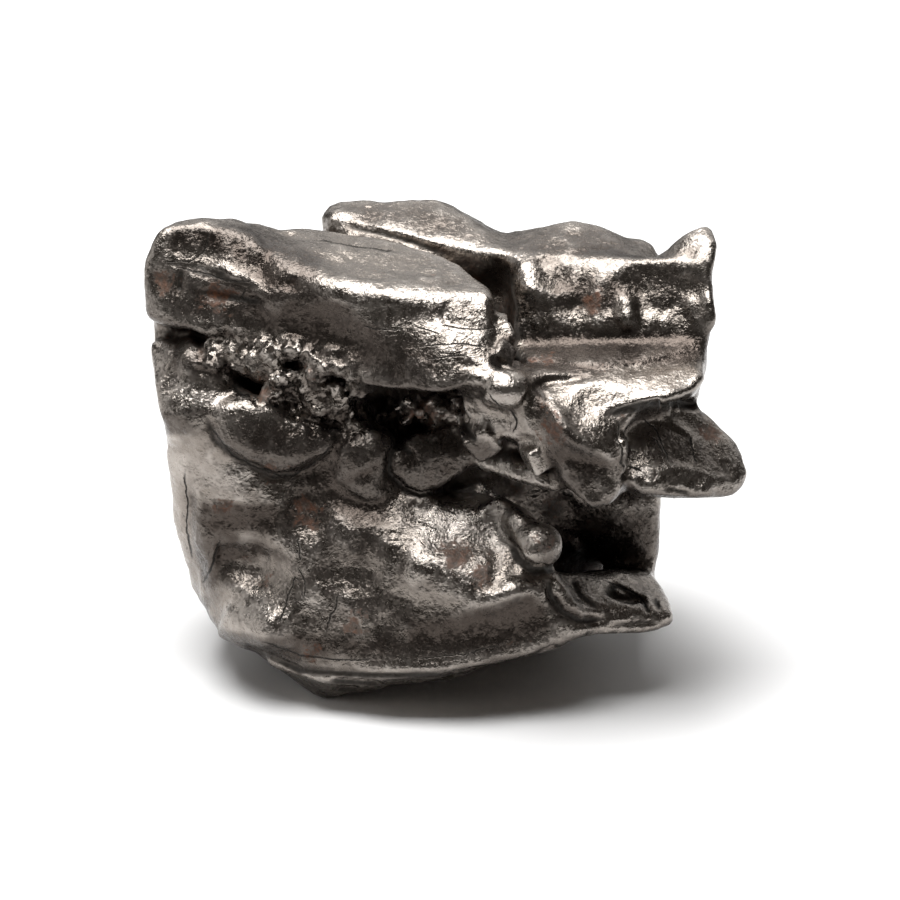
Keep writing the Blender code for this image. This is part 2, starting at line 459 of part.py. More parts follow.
def weather(obj, size, depth):
    """Gentle unevenness all over: size is the width of a swelling, depth its height, in mm."""
    texture = bpy.data.textures.new("weather", "CLOUDS")
    texture.noise_scale = size * MM
    texture.noise_depth = 1
    uneven = obj.modifiers.new("weather", "DISPLACE")
    uneven.texture = texture
    uneven.texture_coords = "LOCAL"
    uneven.strength = depth * MM
    uneven.mid_level = 0.5
    applied(obj)


def stand(obj):
    """Grinds the underside flat where the lump stands."""
    shape = bmesh.new()
    shape.from_mesh(obj.data)
    cut = bmesh.ops.bisect_plane(
        shape, geom=shape.verts[:] + shape.edges[:] + shape.faces[:], dist=1e-7,
        plane_co=(0.0, 0.0, 0.0), plane_no=(0.0, 0.0, -1.0), clear_outer=True,
    )
    rim = [g for g in cut["geom_cut"] if isinstance(g, bmesh.types.BMEdge)]
    bmesh.ops.holes_fill(shape, edges=rim, sides=0)
    bmesh.ops.triangulate(shape, faces=shape.faces[:])
    bmesh.ops.recalc_face_normals(shape, faces=shape.faces[:])
    shape.to_mesh(obj.data)
    shape.free()


def centre(obj):
    """Puts the object's origin in the resting face, under the middle of the lump."""
    obj.data.transform(Matrix.Translation((-ORIGIN[0], -ORIGIN[1], 0.0)))


def thin(obj, count):
    """Keeps about this many triangles."""
    fewer = obj.modifiers.new("thin", "DECIMATE")
    fewer.ratio = count / (2.0 * len(obj.data.polygons))
    applied(obj)


def iron():
    """Worn nickel-iron: grey metal, bright where it is rubbed."""
    material = bpy.data.materials.new("iron")
    material.use_nodes = True
    metal = material.node_tree.nodes["Principled BSDF"]
    metal.inputs["Base Color"].default_value = IRON_COLOUR
    metal.inputs["Metallic"].default_value = 1.0
    metal.inputs["Roughness"].default_value = 0.38
    return material


def main():
    clear_scene()
    shapes = [hull([seen(*p) for p in points]) for points in FRONT_BLOCKS.values()]
    shapes += [hull([Vector(p) * MM for p in points]) for points in HIDDEN_BLOCKS.values()]
    shapes += [lobe(seen(*middle), half) for middle, half in LOBES.values()]
    shapes += crumbs()
    collection = bpy.data.collections.new("meteorite")
    bpy.context.scene.collection.children.link(collection)
    obj = bpy.data.objects.new("meteorite", gathered(shapes))
    collection.objects.link(obj)
    fuse(obj, VOXEL, 5)
    mark(obj, from_the_front(BOLD_MARKS))
    mark(obj, from_a_side(HIDDEN_MARKS))
    weather(obj, 2.6, 0.36)
    weather(obj, 0.9, 0.14)
    fuse(obj, VOXEL, 1)
    thin(obj, FINISHED_TRIANGLES)
    stand(obj)
    centre(obj)
    obj.data.materials.append(iron())
    for polygon in obj.data.polygons:
        polygon.use_smooth = True
    return obj


meteorite = main()
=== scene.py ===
# A small iron meteorite, photographed on white under a big soft light from above.
import json
import math
import random

import bpy
import numpy as np
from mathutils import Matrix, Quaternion, Vector, noise
from mathutils.bvhtree import BVHTree
from mathutils.kdtree import KDTree

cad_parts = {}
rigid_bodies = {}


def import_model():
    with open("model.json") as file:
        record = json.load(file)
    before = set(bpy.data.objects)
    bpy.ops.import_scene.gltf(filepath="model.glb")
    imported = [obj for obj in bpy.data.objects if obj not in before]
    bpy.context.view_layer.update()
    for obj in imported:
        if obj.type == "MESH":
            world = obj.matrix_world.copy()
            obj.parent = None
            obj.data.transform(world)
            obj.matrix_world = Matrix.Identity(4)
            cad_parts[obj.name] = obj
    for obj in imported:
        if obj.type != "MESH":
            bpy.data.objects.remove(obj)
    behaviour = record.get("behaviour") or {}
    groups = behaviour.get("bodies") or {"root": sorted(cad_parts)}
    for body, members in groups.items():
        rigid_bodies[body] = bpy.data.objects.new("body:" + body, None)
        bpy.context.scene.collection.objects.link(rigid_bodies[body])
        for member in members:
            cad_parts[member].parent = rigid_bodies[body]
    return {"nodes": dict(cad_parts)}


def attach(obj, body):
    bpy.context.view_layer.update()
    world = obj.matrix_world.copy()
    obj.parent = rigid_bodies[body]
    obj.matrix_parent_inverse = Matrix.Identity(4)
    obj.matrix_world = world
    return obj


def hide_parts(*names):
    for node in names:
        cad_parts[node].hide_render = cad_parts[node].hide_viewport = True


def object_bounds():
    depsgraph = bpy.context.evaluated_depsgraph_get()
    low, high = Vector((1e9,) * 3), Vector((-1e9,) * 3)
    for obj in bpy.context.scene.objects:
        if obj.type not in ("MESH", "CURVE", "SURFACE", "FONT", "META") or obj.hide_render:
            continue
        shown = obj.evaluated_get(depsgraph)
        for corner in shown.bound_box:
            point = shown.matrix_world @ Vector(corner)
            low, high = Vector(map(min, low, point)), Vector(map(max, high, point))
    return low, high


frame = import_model()
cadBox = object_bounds()
mm = 0.001

# How the front is looked at: the tip of the lump's base lies at tipX, tipY
viewTilt = math.radians(25.0)
tipX = 0.2 * mm
tipY = -6.1 * mm
lookAlong = Vector((0.0, math.cos(viewTilt), -math.sin(viewTilt)))
upTheView = Vector((0.0, math.sin(viewTilt), math.cos(viewTilt)))
bpy.ops.object.select_all(action="DESELECT")


def seen(x, rise, back=0.0):
    # x to the right and rise up the view from the tip, back = how far behind it, all in mm
    up = rise / math.cos(viewTilt) - back * math.tan(viewTilt)
    return Vector((tipX + x * mm, tipY + back * mm, up * mm))


def applyModifier(piece, kind, **settings):
    modifier = piece.modifiers.new(kind.lower(), kind)
    for name, value in settings.items():
        setattr(modifier, name, value)
    with bpy.context.temp_override(object=piece, active_object=piece):
        bpy.ops.object.modifier_apply(modifier=modifier.name)


def joinTo(piece, extras):
    bpy.ops.object.select_all(action="DESELECT")
    for extra in extras:
        extra.select_set(True)
    piece.select_set(True)
    bpy.context.view_layer.objects.active = piece
    bpy.ops.object.join()


def treeOf(mesh):
    # finds where a line of sight meets the skin
    faces = [tuple(polygon.vertices) for polygon in mesh.polygons]
    return BVHTree.FromPolygons([vertex.co for vertex in mesh.vertices], faces)


# The lump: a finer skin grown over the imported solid
lump = {
    "node": "meteorite",
    "grain": 0.15,  # mm, size of the skin's facets
    "settle": 4,  # rounds of smoothing that take the solid's facets out
    "most": 190000,  # triangles kept
    "seed": 11,
}


def copyOfNode(name):
    source = frame["nodes"][name]
    piece = source.copy()
    piece.data = source.data.copy()
    piece.name = "meteoriteSkin"
    piece.parent = None
    piece.modifiers.clear()
    for key in list(piece.keys()):
        del piece[key]
    bpy.context.scene.collection.objects.link(piece)
    bpy.ops.object.select_all(action="DESELECT")
    piece.select_set(True)
    bpy.context.view_layer.objects.active = piece
    bpy.ops.object.mode_set(mode="EDIT")
    bpy.ops.mesh.select_all(action="SELECT")
    bpy.ops.mesh.remove_doubles(threshold=1e-6)
    bpy.ops.object.mode_set(mode="OBJECT")
    return piece


# Small crystals that fill the cleft: the middle of a patch as seen and how far back their ends lie, the
# patch's half-size, how many, and their least and greatest widths, mm
crystals = {
    "cleft left": ((-10.8, 17.2, 3.2), (1.2, 0.4), 14, (0.5, 1.0)),
    "cleft top": ((-8.8, 17.0, 2.2), (1.2, 0.6), 24, (0.4, 0.9)),
    "cleft middle": ((-7.6, 16.1, 2.0), (1.4, 0.8), 32, (0.4, 0.9)),
    "cleft low": ((-6.3, 15.0, 2.0), (1.2, 0.8), 32, (0.4, 0.8)),
    "cleft foot": ((-5.6, 14.2, 2.4), (1.0, 0.5), 14, (0.3, 0.6)),
    "by the hole": ((-2.7, 14.4, 2.2), (0.6, 0.5), 8, (0.25, 0.5)),
    "brown hollow": ((-0.8, 14.7, 2.0), (1.4, 0.5), 16, (0.25, 0.5)),
}


# How the crystals stand and break, mm
crystalShape = {
    "lean": 0.35,
    "longest": 2.5,
    "facetReach": 0.45,
    "facetSlope": 0.9,
    "facetLift": 0.16,
}


def growCrystals(piece, rng):
    # each crystal is a small bar that stands on the skin and ends at its own depth in the cleft
    tree = treeOf(piece.data)
    grown = []
    for middle, half, count, widths in crystals.values():
        for _ in range(count):
            x, rise = (m + rng.uniform(-h, h) for m, h in zip(middle, half))
            hit = tree.ray_cast(seen(x, rise, -40.0), lookAlong)[0]
            if hit is None:
                continue
            width = rng.uniform(*widths) * mm
            end = seen(x, rise, middle[2] + rng.uniform(-0.4, 0.5))
            gap = max(0.0, (hit - end).dot(lookAlong))
            if gap > crystalShape["longest"] * mm:
                continue
            bpy.ops.mesh.primitive_cube_add(size=width, location=hit - lookAlong * gap * 0.5)
            bar = bpy.context.object
            bar.rotation_mode = "QUATERNION"
            sway = Vector([rng.uniform(-1.0, 1.0) for _ in range(3)])
            leaning = lookAlong + crystalShape["lean"] * sway
            bar.rotation_quaternion = leaning.to_track_quat("Z", "Y")
            bar.rotation_quaternion.rotate(Quaternion(leaning, rng.uniform(0.0, math.pi)))
            bar.scale = (1.0, rng.uniform(0.6, 1.4), 1.0 + gap / width)
            grown.append(bar)
    joinTo(piece, grown)
    print("crystals", len(grown))


# Small stones wedged into narrow gaps on the front: (x, rise), radius and how deep they sit, mm
wedged = [
    ((8.4, 12.7), 0.55, 0.35), ((8.5, 11.9), 0.5, 0.4), ((2.4, 18.0), 0.8, 0.8),
    ((2.3, 18.9), 0.7, 1.0), ((2.5, 17.2), 0.7, 0.7), ((-11.6, 17.3), 0.8, 0.7),
    ((-10.2, 16.9), 0.7, 0.5), ((-9.6, 16.4), 0.6, 0.4), ((1.5, 13.25), 1.1, 0.8),
    ((4.3, 12.2), 0.85, 0.9),
]


def wedgeStones(piece, rng):
    # each stone sits at the depth of the edges around its gap, or a little deeper
    tree = treeOf(piece.data)
    stones = []
    for (x, rise), radius, deeper in wedged:
        depths = []
        for k in range(8):
            around = (math.cos(k * math.pi / 4.0), math.sin(k * math.pi / 4.0))
            spot = seen(x + 1.3 * radius * around[0], rise + 1.3 * radius * around[1], -40.0)
            hit = tree.ray_cast(spot, lookAlong)[0]
            if hit is not None:
                depths.append(hit.dot(lookAlong))
        depths.sort()
        rim = depths[len(depths) // 3]
        sunk = (deeper + 0.3 * radius) * mm
        middle = seen(x, rise)
        middle += lookAlong * (rim - middle.dot(lookAlong) + sunk)
        bpy.ops.mesh.primitive_cube_add(size=1.5 * radius * mm, location=middle)
        stone = bpy.context.object
        stone.rotation_euler = [rng.uniform(0.0, 3.0) for _ in range(3)]
        stone.scale = [rng.uniform(0.8, 1.3) for _ in range(3)]
        stones.append(stone)
    joinTo(piece, stones)
    print("wedged stones", len(stones))


def facetCrystals(piece, rng):
    # breaks the crystals into small flat faces, each leaning its own way
    mesh = piece.data
    tree = treeOf(mesh)
    seeds = []
    for middle, half, count, _ in crystals.values():
        for _ in range(3 * count):
            x, rise = (m + rng.uniform(-1.4 * h, 1.4 * h) for m, h in zip(middle, half))
            hit = tree.ray_cast(seen(x, rise, -40.0), lookAlong)[0]
            if hit is not None:
                seeds.append((hit, Vector([rng.uniform(-1.0, 1.0) for _ in range(3)])))
    finder = KDTree(len(seeds))
    for i, (place, _) in enumerate(seeds):
        finder.insert(place, i)
    finder.balance()
    co, normal, _ = readMesh(mesh)
    for i, vertex in enumerate(mesh.vertices):
        place, k, apart = finder.find(vertex.co)
        if apart < crystalShape["facetReach"] * mm:
            lift = (vertex.co - place).dot(seeds[k][1]) * crystalShape["facetSlope"]
            most = crystalShape["facetLift"] * mm
            co[i] += normal[i] * max(-most, min(most, lift))
    writeMesh(mesh, co)


# Low forms of the front, worked in before the crystals: profile, half-width and height in mm, then
# (x, rise) along each
frontForms = {
    "shoulder rise": ("round", 1.4, 0.9, [(-13.6, 17.2), (-12.0, 16.9), (-10.6, 16.4)]),
    "pocket fill": ("round", 0.9, 0.3, [(-13.4, 22.6), (-12.3, 22.5)]),
    "shelf ridge": ("round", 1.2, 0.28, [
        (-10.4, 23.6), (-9.2, 22.6), (-7.4, 21.4), (-5.6, 20.6), (-2.5, 20.2), (2.0, 20.1),
    ]),
    "knob": ("round", 1.2, 0.7, [(1.8, 15.7), (3.6, 15.4)]),
    "dome": ("round", 2.2, 0.3, [(-5.3, 12.9), (-4.4, 11.4)]),
    "wall foot swell": ("round", 1.2, 0.22, [(3.4, 18.6), (12.6, 18.6)]),
    "apron slope foot": ("round", 1.8, 0.45, [(-2.4, 6.6), (0.2, 6.2), (2.4, 6.2)]),
    "apron left slope top": ("round", 1.4, -0.55, [(-12.0, 6.8), (-10.6, 6.6), (-9.0, 6.6)]),
    "apron left slope foot": ("round", 1.3, 0.6, [(-11.4, 4.0), (-10.2, 3.6), (-8.6, 3.4)]),
    "scratch 1": ("round", 0.22, -0.06, [(-11.2, 9.9), (-11.0, 8.6)]),
    "scratch 2": ("round", 0.22, -0.07, [(-10.6, 9.9), (-10.3, 8.4)]),
    "scratch 3": ("round", 0.22, -0.06, [(-9.9, 9.8), (-9.5, 8.5)]),
    "scratch 4": ("round", 0.22, -0.07, [(-9.2, 9.7), (-8.9, 8.6)]),
    "end rib": ("round", 0.6, 0.12, [(-9.4, 20.5), (-8.75, 19.5), (-8.25, 18.2)]),
    "wall fold 1": ("round", 0.6, 0.12, [(3.1, 22.3), (3.6, 21.2), (4.1, 20.0)]),
    "wall fold 2": ("round", 0.5, 0.08, [(4.1, 22.0), (4.5, 21.0), (4.7, 20.2)]),
    "wall fold 3": ("round", 0.5, 0.08, [(5.1, 21.9), (5.1, 20.3)]),
    "bowl blob": ("round", 0.6, 0.25, [(8.85, 20.1), (8.9, 18.9)]),
    "bowl rib 2": ("round", 0.3, 0.14, [(10.0, 19.2), (9.9, 18.3)]),
    "bowl rib 3": ("round", 0.3, 0.14, [(10.75, 19.2), (10.65, 18.3)]),
    "bowl rib 4": ("round", 0.4, 0.18, [(12.0, 20.0), (12.4, 18.6)]),
    "right rim": ("round", 0.45, 0.12, [(7.5, 14.3), (10.0, 15.0), (11.9, 15.4), (12.6, 16.4)]),
    "nose ridge": ("round", 0.5, 0.16, [
        (4.75, 15.0), (5.5, 13.75), (6.25, 12.9), (7.5, 12.3), (8.4, 11.9),
    ]),
    "ledge lump 1": ("round", 0.6, 0.2, [(1.6, 12.2), (2.0, 11.7)]),
    "ledge lump 2": ("round", 0.55, 0.2, [(2.9, 12.1), (3.2, 11.6)]),
    "ledge lump 3": ("round", 0.5, 0.2, [(4.1, 11.7), (4.5, 11.0)]),
    "tongue curl": ("round", 0.45, 0.15, [
        (5.5, 11.6), (5.8, 10.6), (6.5, 10.0), (7.4, 9.8), (8.2, 10.2),
    ]),
    "ear rim": ("round", 0.45, 0.16, [
        (8.75, 11.0), (9.75, 11.5), (11.0, 11.6), (12.5, 11.3), (13.5, 11.0), (14.4, 11.2),
    ]),
    "ear lobe 1": ("round", 0.7, 0.18, [(9.6, 10.9), (10.6, 10.9)]),
    "ear lobe 2": ("round", 0.7, 0.18, [(12.3, 10.7), (13.2, 10.6)]),
    "foot curl": ("round", 0.4, 0.18, [(5.5, 5.75), (6.0, 4.8), (7.0, 4.3)]),
    "ball lip": ("round", 0.35, 0.3, [(6.0, 7.75), (6.5, 7.6)]),
    "apron ridge": ("round", 0.7, 0.1, [(0.7, 4.4), (2.2, 5.0), (3.6, 5.6)]),
    "apron dent 5": ("round", 0.8, -0.13, [(-3.6, 4.2), (-3.0, 3.4)]),
    "apron dent 6": ("round", 0.7, -0.13, [(-1.2, 3.8), (-0.8, 2.8)]),
    "apron dent 7": ("round", 0.8, -0.13, [(-9.9, 4.2), (-9.2, 3.6)]),
    "apron swell 1": ("round", 0.9, 0.15, [(-1.8, 7.6), (-0.8, 8.6)]),
    "apron swell 2": ("round", 0.9, 0.15, [(-8.8, 4.6), (-7.8, 4.2)]),
    "apron swell 3": ("round", 0.7, 0.15, [(-7.0, 5.3), (-6.4, 5.6)]),
}

# Finer marks of the front, cut after the crystals are in, given in the same way
frontCuts = {
    "plateau pit 1": ("sharp", 0.22, -0.18, [(-0.25, 20.65), (-0.1, 20.85), (0.5, 20.8)]),
    "plateau pit 2": ("sharp", 0.2, -0.14, [(-5.25, 22.1), (-4.75, 22.1)]),
    "plateau pit 3": ("sharp", 0.25, -0.15, [(-9.0, 23.6), (-7.75, 23.15)]),
    "plateau pit 4": ("sharp", 0.2, -0.12, [(-5.0, 21.2), (-4.2, 21.15), (-3.25, 21.1)]),
    "plateau pit 5": ("round", 0.3, -0.12, [(-1.3, 21.8), (-1.1, 21.9)]),
    "plateau ring": ("round", 0.2, 0.09, [
        (-1.5, 21.3), (-1.1, 21.5), (-0.6, 21.4), (-0.5, 21.1), (-0.9, 20.9), (-1.4, 21.0), (-1.5, 21.3),
    ]),
    "crest groove": ("sharp", 0.3, -0.25, [(-5.5, 23.8), (-3.5, 23.35), (-1.8, 22.9), (0.0, 22.2)]),
    "shelf dent": ("round", 0.5, -0.2, [(-8.15, 20.85), (-7.6, 20.65)]),
    "shelf end ledge": ("step", 0.4, -0.14, [(-0.35, 19.1), (-0.15, 18.65), (1.0, 18.5), (2.0, 18.4)]),
    "shelf end notch": ("sharp", 0.25, -0.12, [(-0.1, 19.9), (-0.35, 19.1)]),
    "shelf chip": ("step", 0.4, -0.12, [(0.2, 16.7), (1.1, 16.5), (2.0, 16.2)]),
    "end line 1": ("sharp", 0.28, -0.28, [(-14.5, 21.85), (-12.5, 21.65), (-11.0, 21.15)]),
    "end line 2": ("sharp", 0.25, -0.25, [(-13.2, 21.5), (-10.8, 20.9), (-9.6, 20.6)]),
    "end line 3": ("sharp", 0.28, -0.35, [(-13.4, 21.5), (-13.5, 20.4)]),
    "end line 4": ("sharp", 0.35, -0.3, [(-12.5, 20.4), (-10.5, 20.0), (-9.4, 19.85)]),
    "pillow crease": ("sharp", 0.3, -0.22, [
        (-12.2, 14.4), (-11.8, 13.0), (-10.5, 12.0), (-8.8, 11.15), (-7.5, 11.35),
    ]),
    "dome crack": ("sharp", 0.25, -0.5, [
        (-2.65, 13.75), (-2.5, 13.0), (-3.0, 12.2), (-3.0, 11.25), (-2.3, 10.5), (-1.5, 10.2),
        (0.4, 10.6), (1.7, 10.9),
    ]),
    "wedge crack": ("sharp", 0.3, -0.4, [(-2.75, 13.0), (-1.9, 12.25)]),
    "wedge split": ("sharp", 0.3, -0.4, [(0.6, 13.85), (0.9, 13.4), (1.3, 12.9)]),
    "wedge top": ("step", 0.5, -0.2, [(-1.9, 13.3), (-0.6, 13.6), (0.6, 13.8)]),
    "pocket": ("step", 0.45, -0.3, [(6.75, 16.25), (5.6, 16.2), (4.75, 16.1), (4.25, 15.75)]),
    "pocket tail": ("sharp", 0.25, -0.2, [(4.25, 15.75), (4.75, 15.0)]),
    "back step": ("step", 0.8, -0.16, [(12.0, 17.5), (9.5, 16.9), (7.5, 16.7), (4.5, 17.1), (2.5, 16.9)]),
    "bowl dot": ("round", 0.3, -0.16, [(10.2, 19.6), (10.35, 19.6)]),
    "V groove": ("sharp", 0.45, -0.5, [(7.8, 14.2), (9.5, 14.7), (11.5, 14.8), (12.6, 14.7)]),
    "ear plate": ("step", 0.4, -0.15, [
        (12.1, 12.3), (12.1, 13.2), (11.25, 13.6), (10.5, 14.1), (9.0, 14.0),
    ]),
    "ear dints": ("sharp", 0.25, -0.22, [(13.65, 11.9), (13.8, 11.5), (14.0, 11.1)]),
    "ear slot": ("sharp", 0.22, -0.25, [(10.75, 10.6), (12.0, 10.3)]),
    "ball seat": ("sharp", 0.4, -0.55, [(3.05, 7.8), (3.4, 7.0), (4.2, 6.45), (5.5, 6.6)]),
    "foot arc 1": ("sharp", 0.28, -0.35, [
        (4.9, 6.0), (5.0, 5.25), (5.6, 4.4), (6.5, 3.95), (7.75, 4.05),
    ]),
    "foot arc 2": ("sharp", 0.25, -0.3, [(6.1, 6.0), (6.5, 5.25), (7.4, 4.6)]),
    "foot hole 1": ("sharp", 0.3, -0.35, [(8.15, 5.8), (8.2, 5.2), (9.3, 5.05)]),
    "foot hole 2": ("sharp", 0.25, -0.35, [(8.25, 5.8), (9.0, 5.4), (9.75, 4.95)]),
    "foot cut 1": ("sharp", 0.18, -0.25, [(9.65, 4.9), (10.0, 4.35)]),
    "foot cut 2": ("sharp", 0.18, -0.25, [(10.25, 5.1), (10.5, 4.5)]),
    "foot rim": ("sharp", 0.2, -0.18, [(8.0, 3.7), (9.5, 3.9), (10.6, 3.85)]),
    "lip line": ("sharp", 0.3, -0.28, [
        (-10.0, 2.6), (-7.5, 1.45), (-4.0, 1.25), (-0.5, 1.25), (2.5, 1.65), (5.5, 2.5), (7.5, 3.2),
    ]),
    "lip slot": ("sharp", 0.28, -0.4, [(4.5, 2.35), (6.25, 2.8)]),
    "lip hole 1": ("sharp", 0.25, -0.35, [(-6.0, 0.95), (-3.5, 0.8)]),
    "lip hole 2": ("sharp", 0.25, -0.35, [(-5.6, 0.5), (-4.6, 0.5)]),
}

# Hairline cracks and scratches, which the material draws: half-width of the strip that they wander in,
# mm, how dark, then (x, rise) along each
hairlines = {
    "long crack": (0.4, 1.0, [
        (-7.6, 8.1), (-7.5, 7.2), (-7.6, 6.4), (-8.0, 5.5), (-8.2, 4.7), (-8.5, 4.0),
    ]),
    "long crack branch": (0.3, 0.7, [(-7.6, 6.6), (-7.2, 5.9), (-7.3, 5.2)]),
    "left crack": (0.35, 1.0, [(-11.6, 7.8), (-11.8, 7.1), (-12.0, 6.5), (-12.3, 6.0)]),
    "left hair": (0.3, 0.5, [(-13.3, 11.4), (-13.1, 9.8), (-13.2, 8.6), (-12.9, 7.0)]),
    "short crack": (0.45, 1.0, [(-5.6, 5.1), (-5.7, 4.6), (-6.0, 4.2), (-6.1, 3.6)]),
    "pillow hair": (0.3, 0.8, [(-8.8, 11.4), (-7.9, 11.2), (-7.0, 11.7), (-6.0, 12.6)]),
    "flank hair": (0.3, 0.7, [(-11.9, 13.6), (-10.9, 12.3), (-9.6, 11.6), (-8.4, 11.2)]),
    "shelf line 1": (0.25, 0.7, [(-2.0, 17.6), (0.4, 17.8), (1.8, 17.6)]),
    "shelf line 2": (0.25, 0.6, [(-1.2, 17.0), (0.8, 17.2)]),
    "shelf line 3": (0.25, 0.6, [(-1.6, 18.6), (-0.6, 18.3)]),
    "shelf line 4": (0.25, 0.8, [(-0.3, 18.7), (0.8, 18.5), (2.0, 18.5)]),
    "shelf line 5": (0.3, 0.7, [(-4.2, 18.6), (-2.6, 18.4)]),
    "end crack 1": (0.3, 1.0, [(-10.6, 20.9), (-10.2, 20.5), (-10.4, 20.1), (-9.8, 19.8)]),
    "end crack 2": (0.3, 0.9, [(-13.6, 21.6), (-12.2, 21.3), (-11.0, 20.9), (-9.9, 20.9)]),
    "end crack 3": (0.3, 0.9, [(-12.0, 23.3), (-12.2, 22.4), (-12.9, 21.9), (-14.2, 21.9)]),
    "ear crack": (0.35, 1.0, [(8.4, 13.8), (8.3, 13.0), (8.6, 12.5), (8.5, 11.8), (9.5, 11.5)]),
    "ear hair 1": (0.3, 0.9, [(9.7, 14.0), (10.3, 13.5), (10.5, 12.9), (10.9, 12.0)]),
    "ear hair 2": (0.3, 0.8, [(12.0, 13.1), (12.1, 12.4), (12.3, 11.9)]),
    "nose hook": (0.3, 1.0, [(2.0, 15.2), (2.4, 14.7), (3.0, 14.5), (3.4, 13.9), (3.2, 13.5)]),
    "plateau hair": (0.3, 0.6, [(-6.6, 23.0), (-4.4, 22.6), (-2.8, 22.4)]),
    "lower hair 1": (0.3, 0.8, [(-9.3, 2.9), (-7.3, 2.2), (-5.6, 2.0), (-3.9, 2.0)]),
    "lower hair 2": (0.3, 0.7, [(-1.6, 2.1), (0.6, 2.3), (2.6, 2.8)]),
    "foot hair": (0.3, 0.9, [(7.9, 5.9), (8.8, 5.5), (9.5, 5.2), (9.9, 4.5)]),
}

# The height of a mark across its width, s from -1 to 1
profiles = {
    "round": lambda s: (1.0 - s * s) ** 2,
    "sharp": lambda s: (1.0 - np.abs(s)) ** 1.6,
    "step": lambda s: np.clip(s * 6.0 + 0.5, 0.0, 1.0) * (1.0 - np.abs(s)) ** 0.8,
}


def readMesh(mesh):
    co = np.empty(len(mesh.vertices) * 3, np.float32)
    mesh.vertices.foreach_get("co", co)
    normal = np.empty(len(mesh.vertices) * 3, np.float32)
    mesh.vertex_normals.foreach_get("vector", normal)
    ends = np.empty(len(mesh.edges) * 2, np.int32)
    mesh.edges.foreach_get("vertices", ends)
    return co.reshape(-1, 3).astype(float), normal.reshape(-1, 3).astype(float), ends.reshape(-1, 2)


def writeMesh(mesh, co):
    mesh.vertices.foreach_set("co", co.astype(np.float32).ravel())
    mesh.update()


def spreadOver(values, ends, rounds):
    # each value becomes the mean of its neighbours', again and again
    count = len(values)
    degree = np.maximum(np.bincount(ends.ravel(), minlength=count), 1)
    for _ in range(rounds):
        total = [
            np.bincount(ends[:, 0], values[ends[:, 1], axis], count)
            + np.bincount(ends[:, 1], values[ends[:, 0], axis], count)
            for axis in range(values.shape[1])
        ]
        values = np.stack(total, axis=1) / degree[:, None]
    return values


def readSkin(piece):
    # the skin's points, and how each looks from the front
    mesh = piece.data
    co, normal, ends = readMesh(mesh)
    return {
        "co": co,
        "normal": normal,
        "ends": ends,
        "tree": treeOf(mesh),
        "flat": np.stack([co[:, 0], co @ np.array(upTheView)], axis=1),
        "depth": co @ np.array(lookAlong),
        "facing": -(normal @ np.array(lookAlong)),
    }


def traceMark(skin, width, path):
    # the points near a path on the front, how far across it each lies, from -1 to 1, and how strong the
    # mark is there: it fades out at both ends
    reach = width * mm
    places = [seen(x, rise) for x, rise in path]
    line = [np.array((p.x, p.dot(upTheView))) for p in places]
    low = np.min(line, axis=0) - reach
    high = np.max(line, axis=0) + reach
    near = np.all((skin["flat"] > low) & (skin["flat"] < high), axis=1).nonzero()[0]
    flat = skin["flat"][near]
    best = np.full(len(near), 9.0)
    side = np.zeros(len(near))
    share = np.zeros(len(near))
    hitDepth = np.full(len(near), 9.0)
    total = len(line) - 1
    for i in range(total):
        run = line[i + 1] - line[i]
        offset = flat - line[i]
        t = np.clip(offset @ run / max(run @ run, 1e-18), 0.0, 1.0)
        apart = np.linalg.norm(offset - t[:, None] * run, axis=1)
        closer = apart < best
        cross = run[0] * offset[:, 1] - run[1] * offset[:, 0]
        best[closer] = apart[closer]
        side[closer] = np.sign(cross[closer])
        share[closer] = ((i + t) / total)[closer]
        # how deep the skin lies under this stretch
        for k in range(4):
            spot = places[i].lerp(places[i + 1], (k + 0.5) / 4.0) - lookAlong * 0.05
            hit = skin["tree"].ray_cast(spot, lookAlong)[0]
            if hit is not None:
                mine = closer & (t >= k / 4.0) & (t <= (k + 1) / 4.0)
                hitDepth[mine] = hit.dot(lookAlong)
    s = side * best / reach
    shown = (np.abs(s) < 1.0) & (np.abs(skin["depth"][near] - hitDepth) < max(2.0 * reach, 0.8 * mm))
    shown &= skin["facing"][near] > -0.25
    fade = np.clip(np.minimum(share, 1.0 - share) * 5.0 + 0.35, 0.0, 1.0)
    return near[shown], s[shown], fade[shown]


def workMarks(piece, marks):
    skin = readSkin(piece)
    broad = spreadOver(skin["normal"], skin["ends"], 8)
    broad /= np.maximum(np.linalg.norm(broad, axis=1), 1e-9)[:, None]
    moved = np.zeros_like(broad)
    for profile, width, height, path in marks.values():
        near, s, fade = traceMark(skin, width, path)
        moved[near] += broad[near] * (height * mm * profiles[profile](s) * fade)[:, None]
    writeMesh(piece.data, skin["co"] + moved)


# Dints and pits all over, cracks on the sides that the photograph doesn't show, and how wide and how high
# the skin's unevenness is: sizes in mm
weathering = {
    "dints": 240,
    "dintSize": (0.35, 1.1),
    "dintDepth": 0.08,  # of its size
    "pits": 700,
    "pitSize": (0.15, 0.3),
    "pitDepth": 0.22,
    "cracks": 26,
    "crackLength": (1.5, 6.0),
    "crackWidth": (0.2, 0.4),
    "swell": (1.3, 0.13),
    "hammered": (0.6, 0.1),
    "rough": (0.28, 0.04),
}


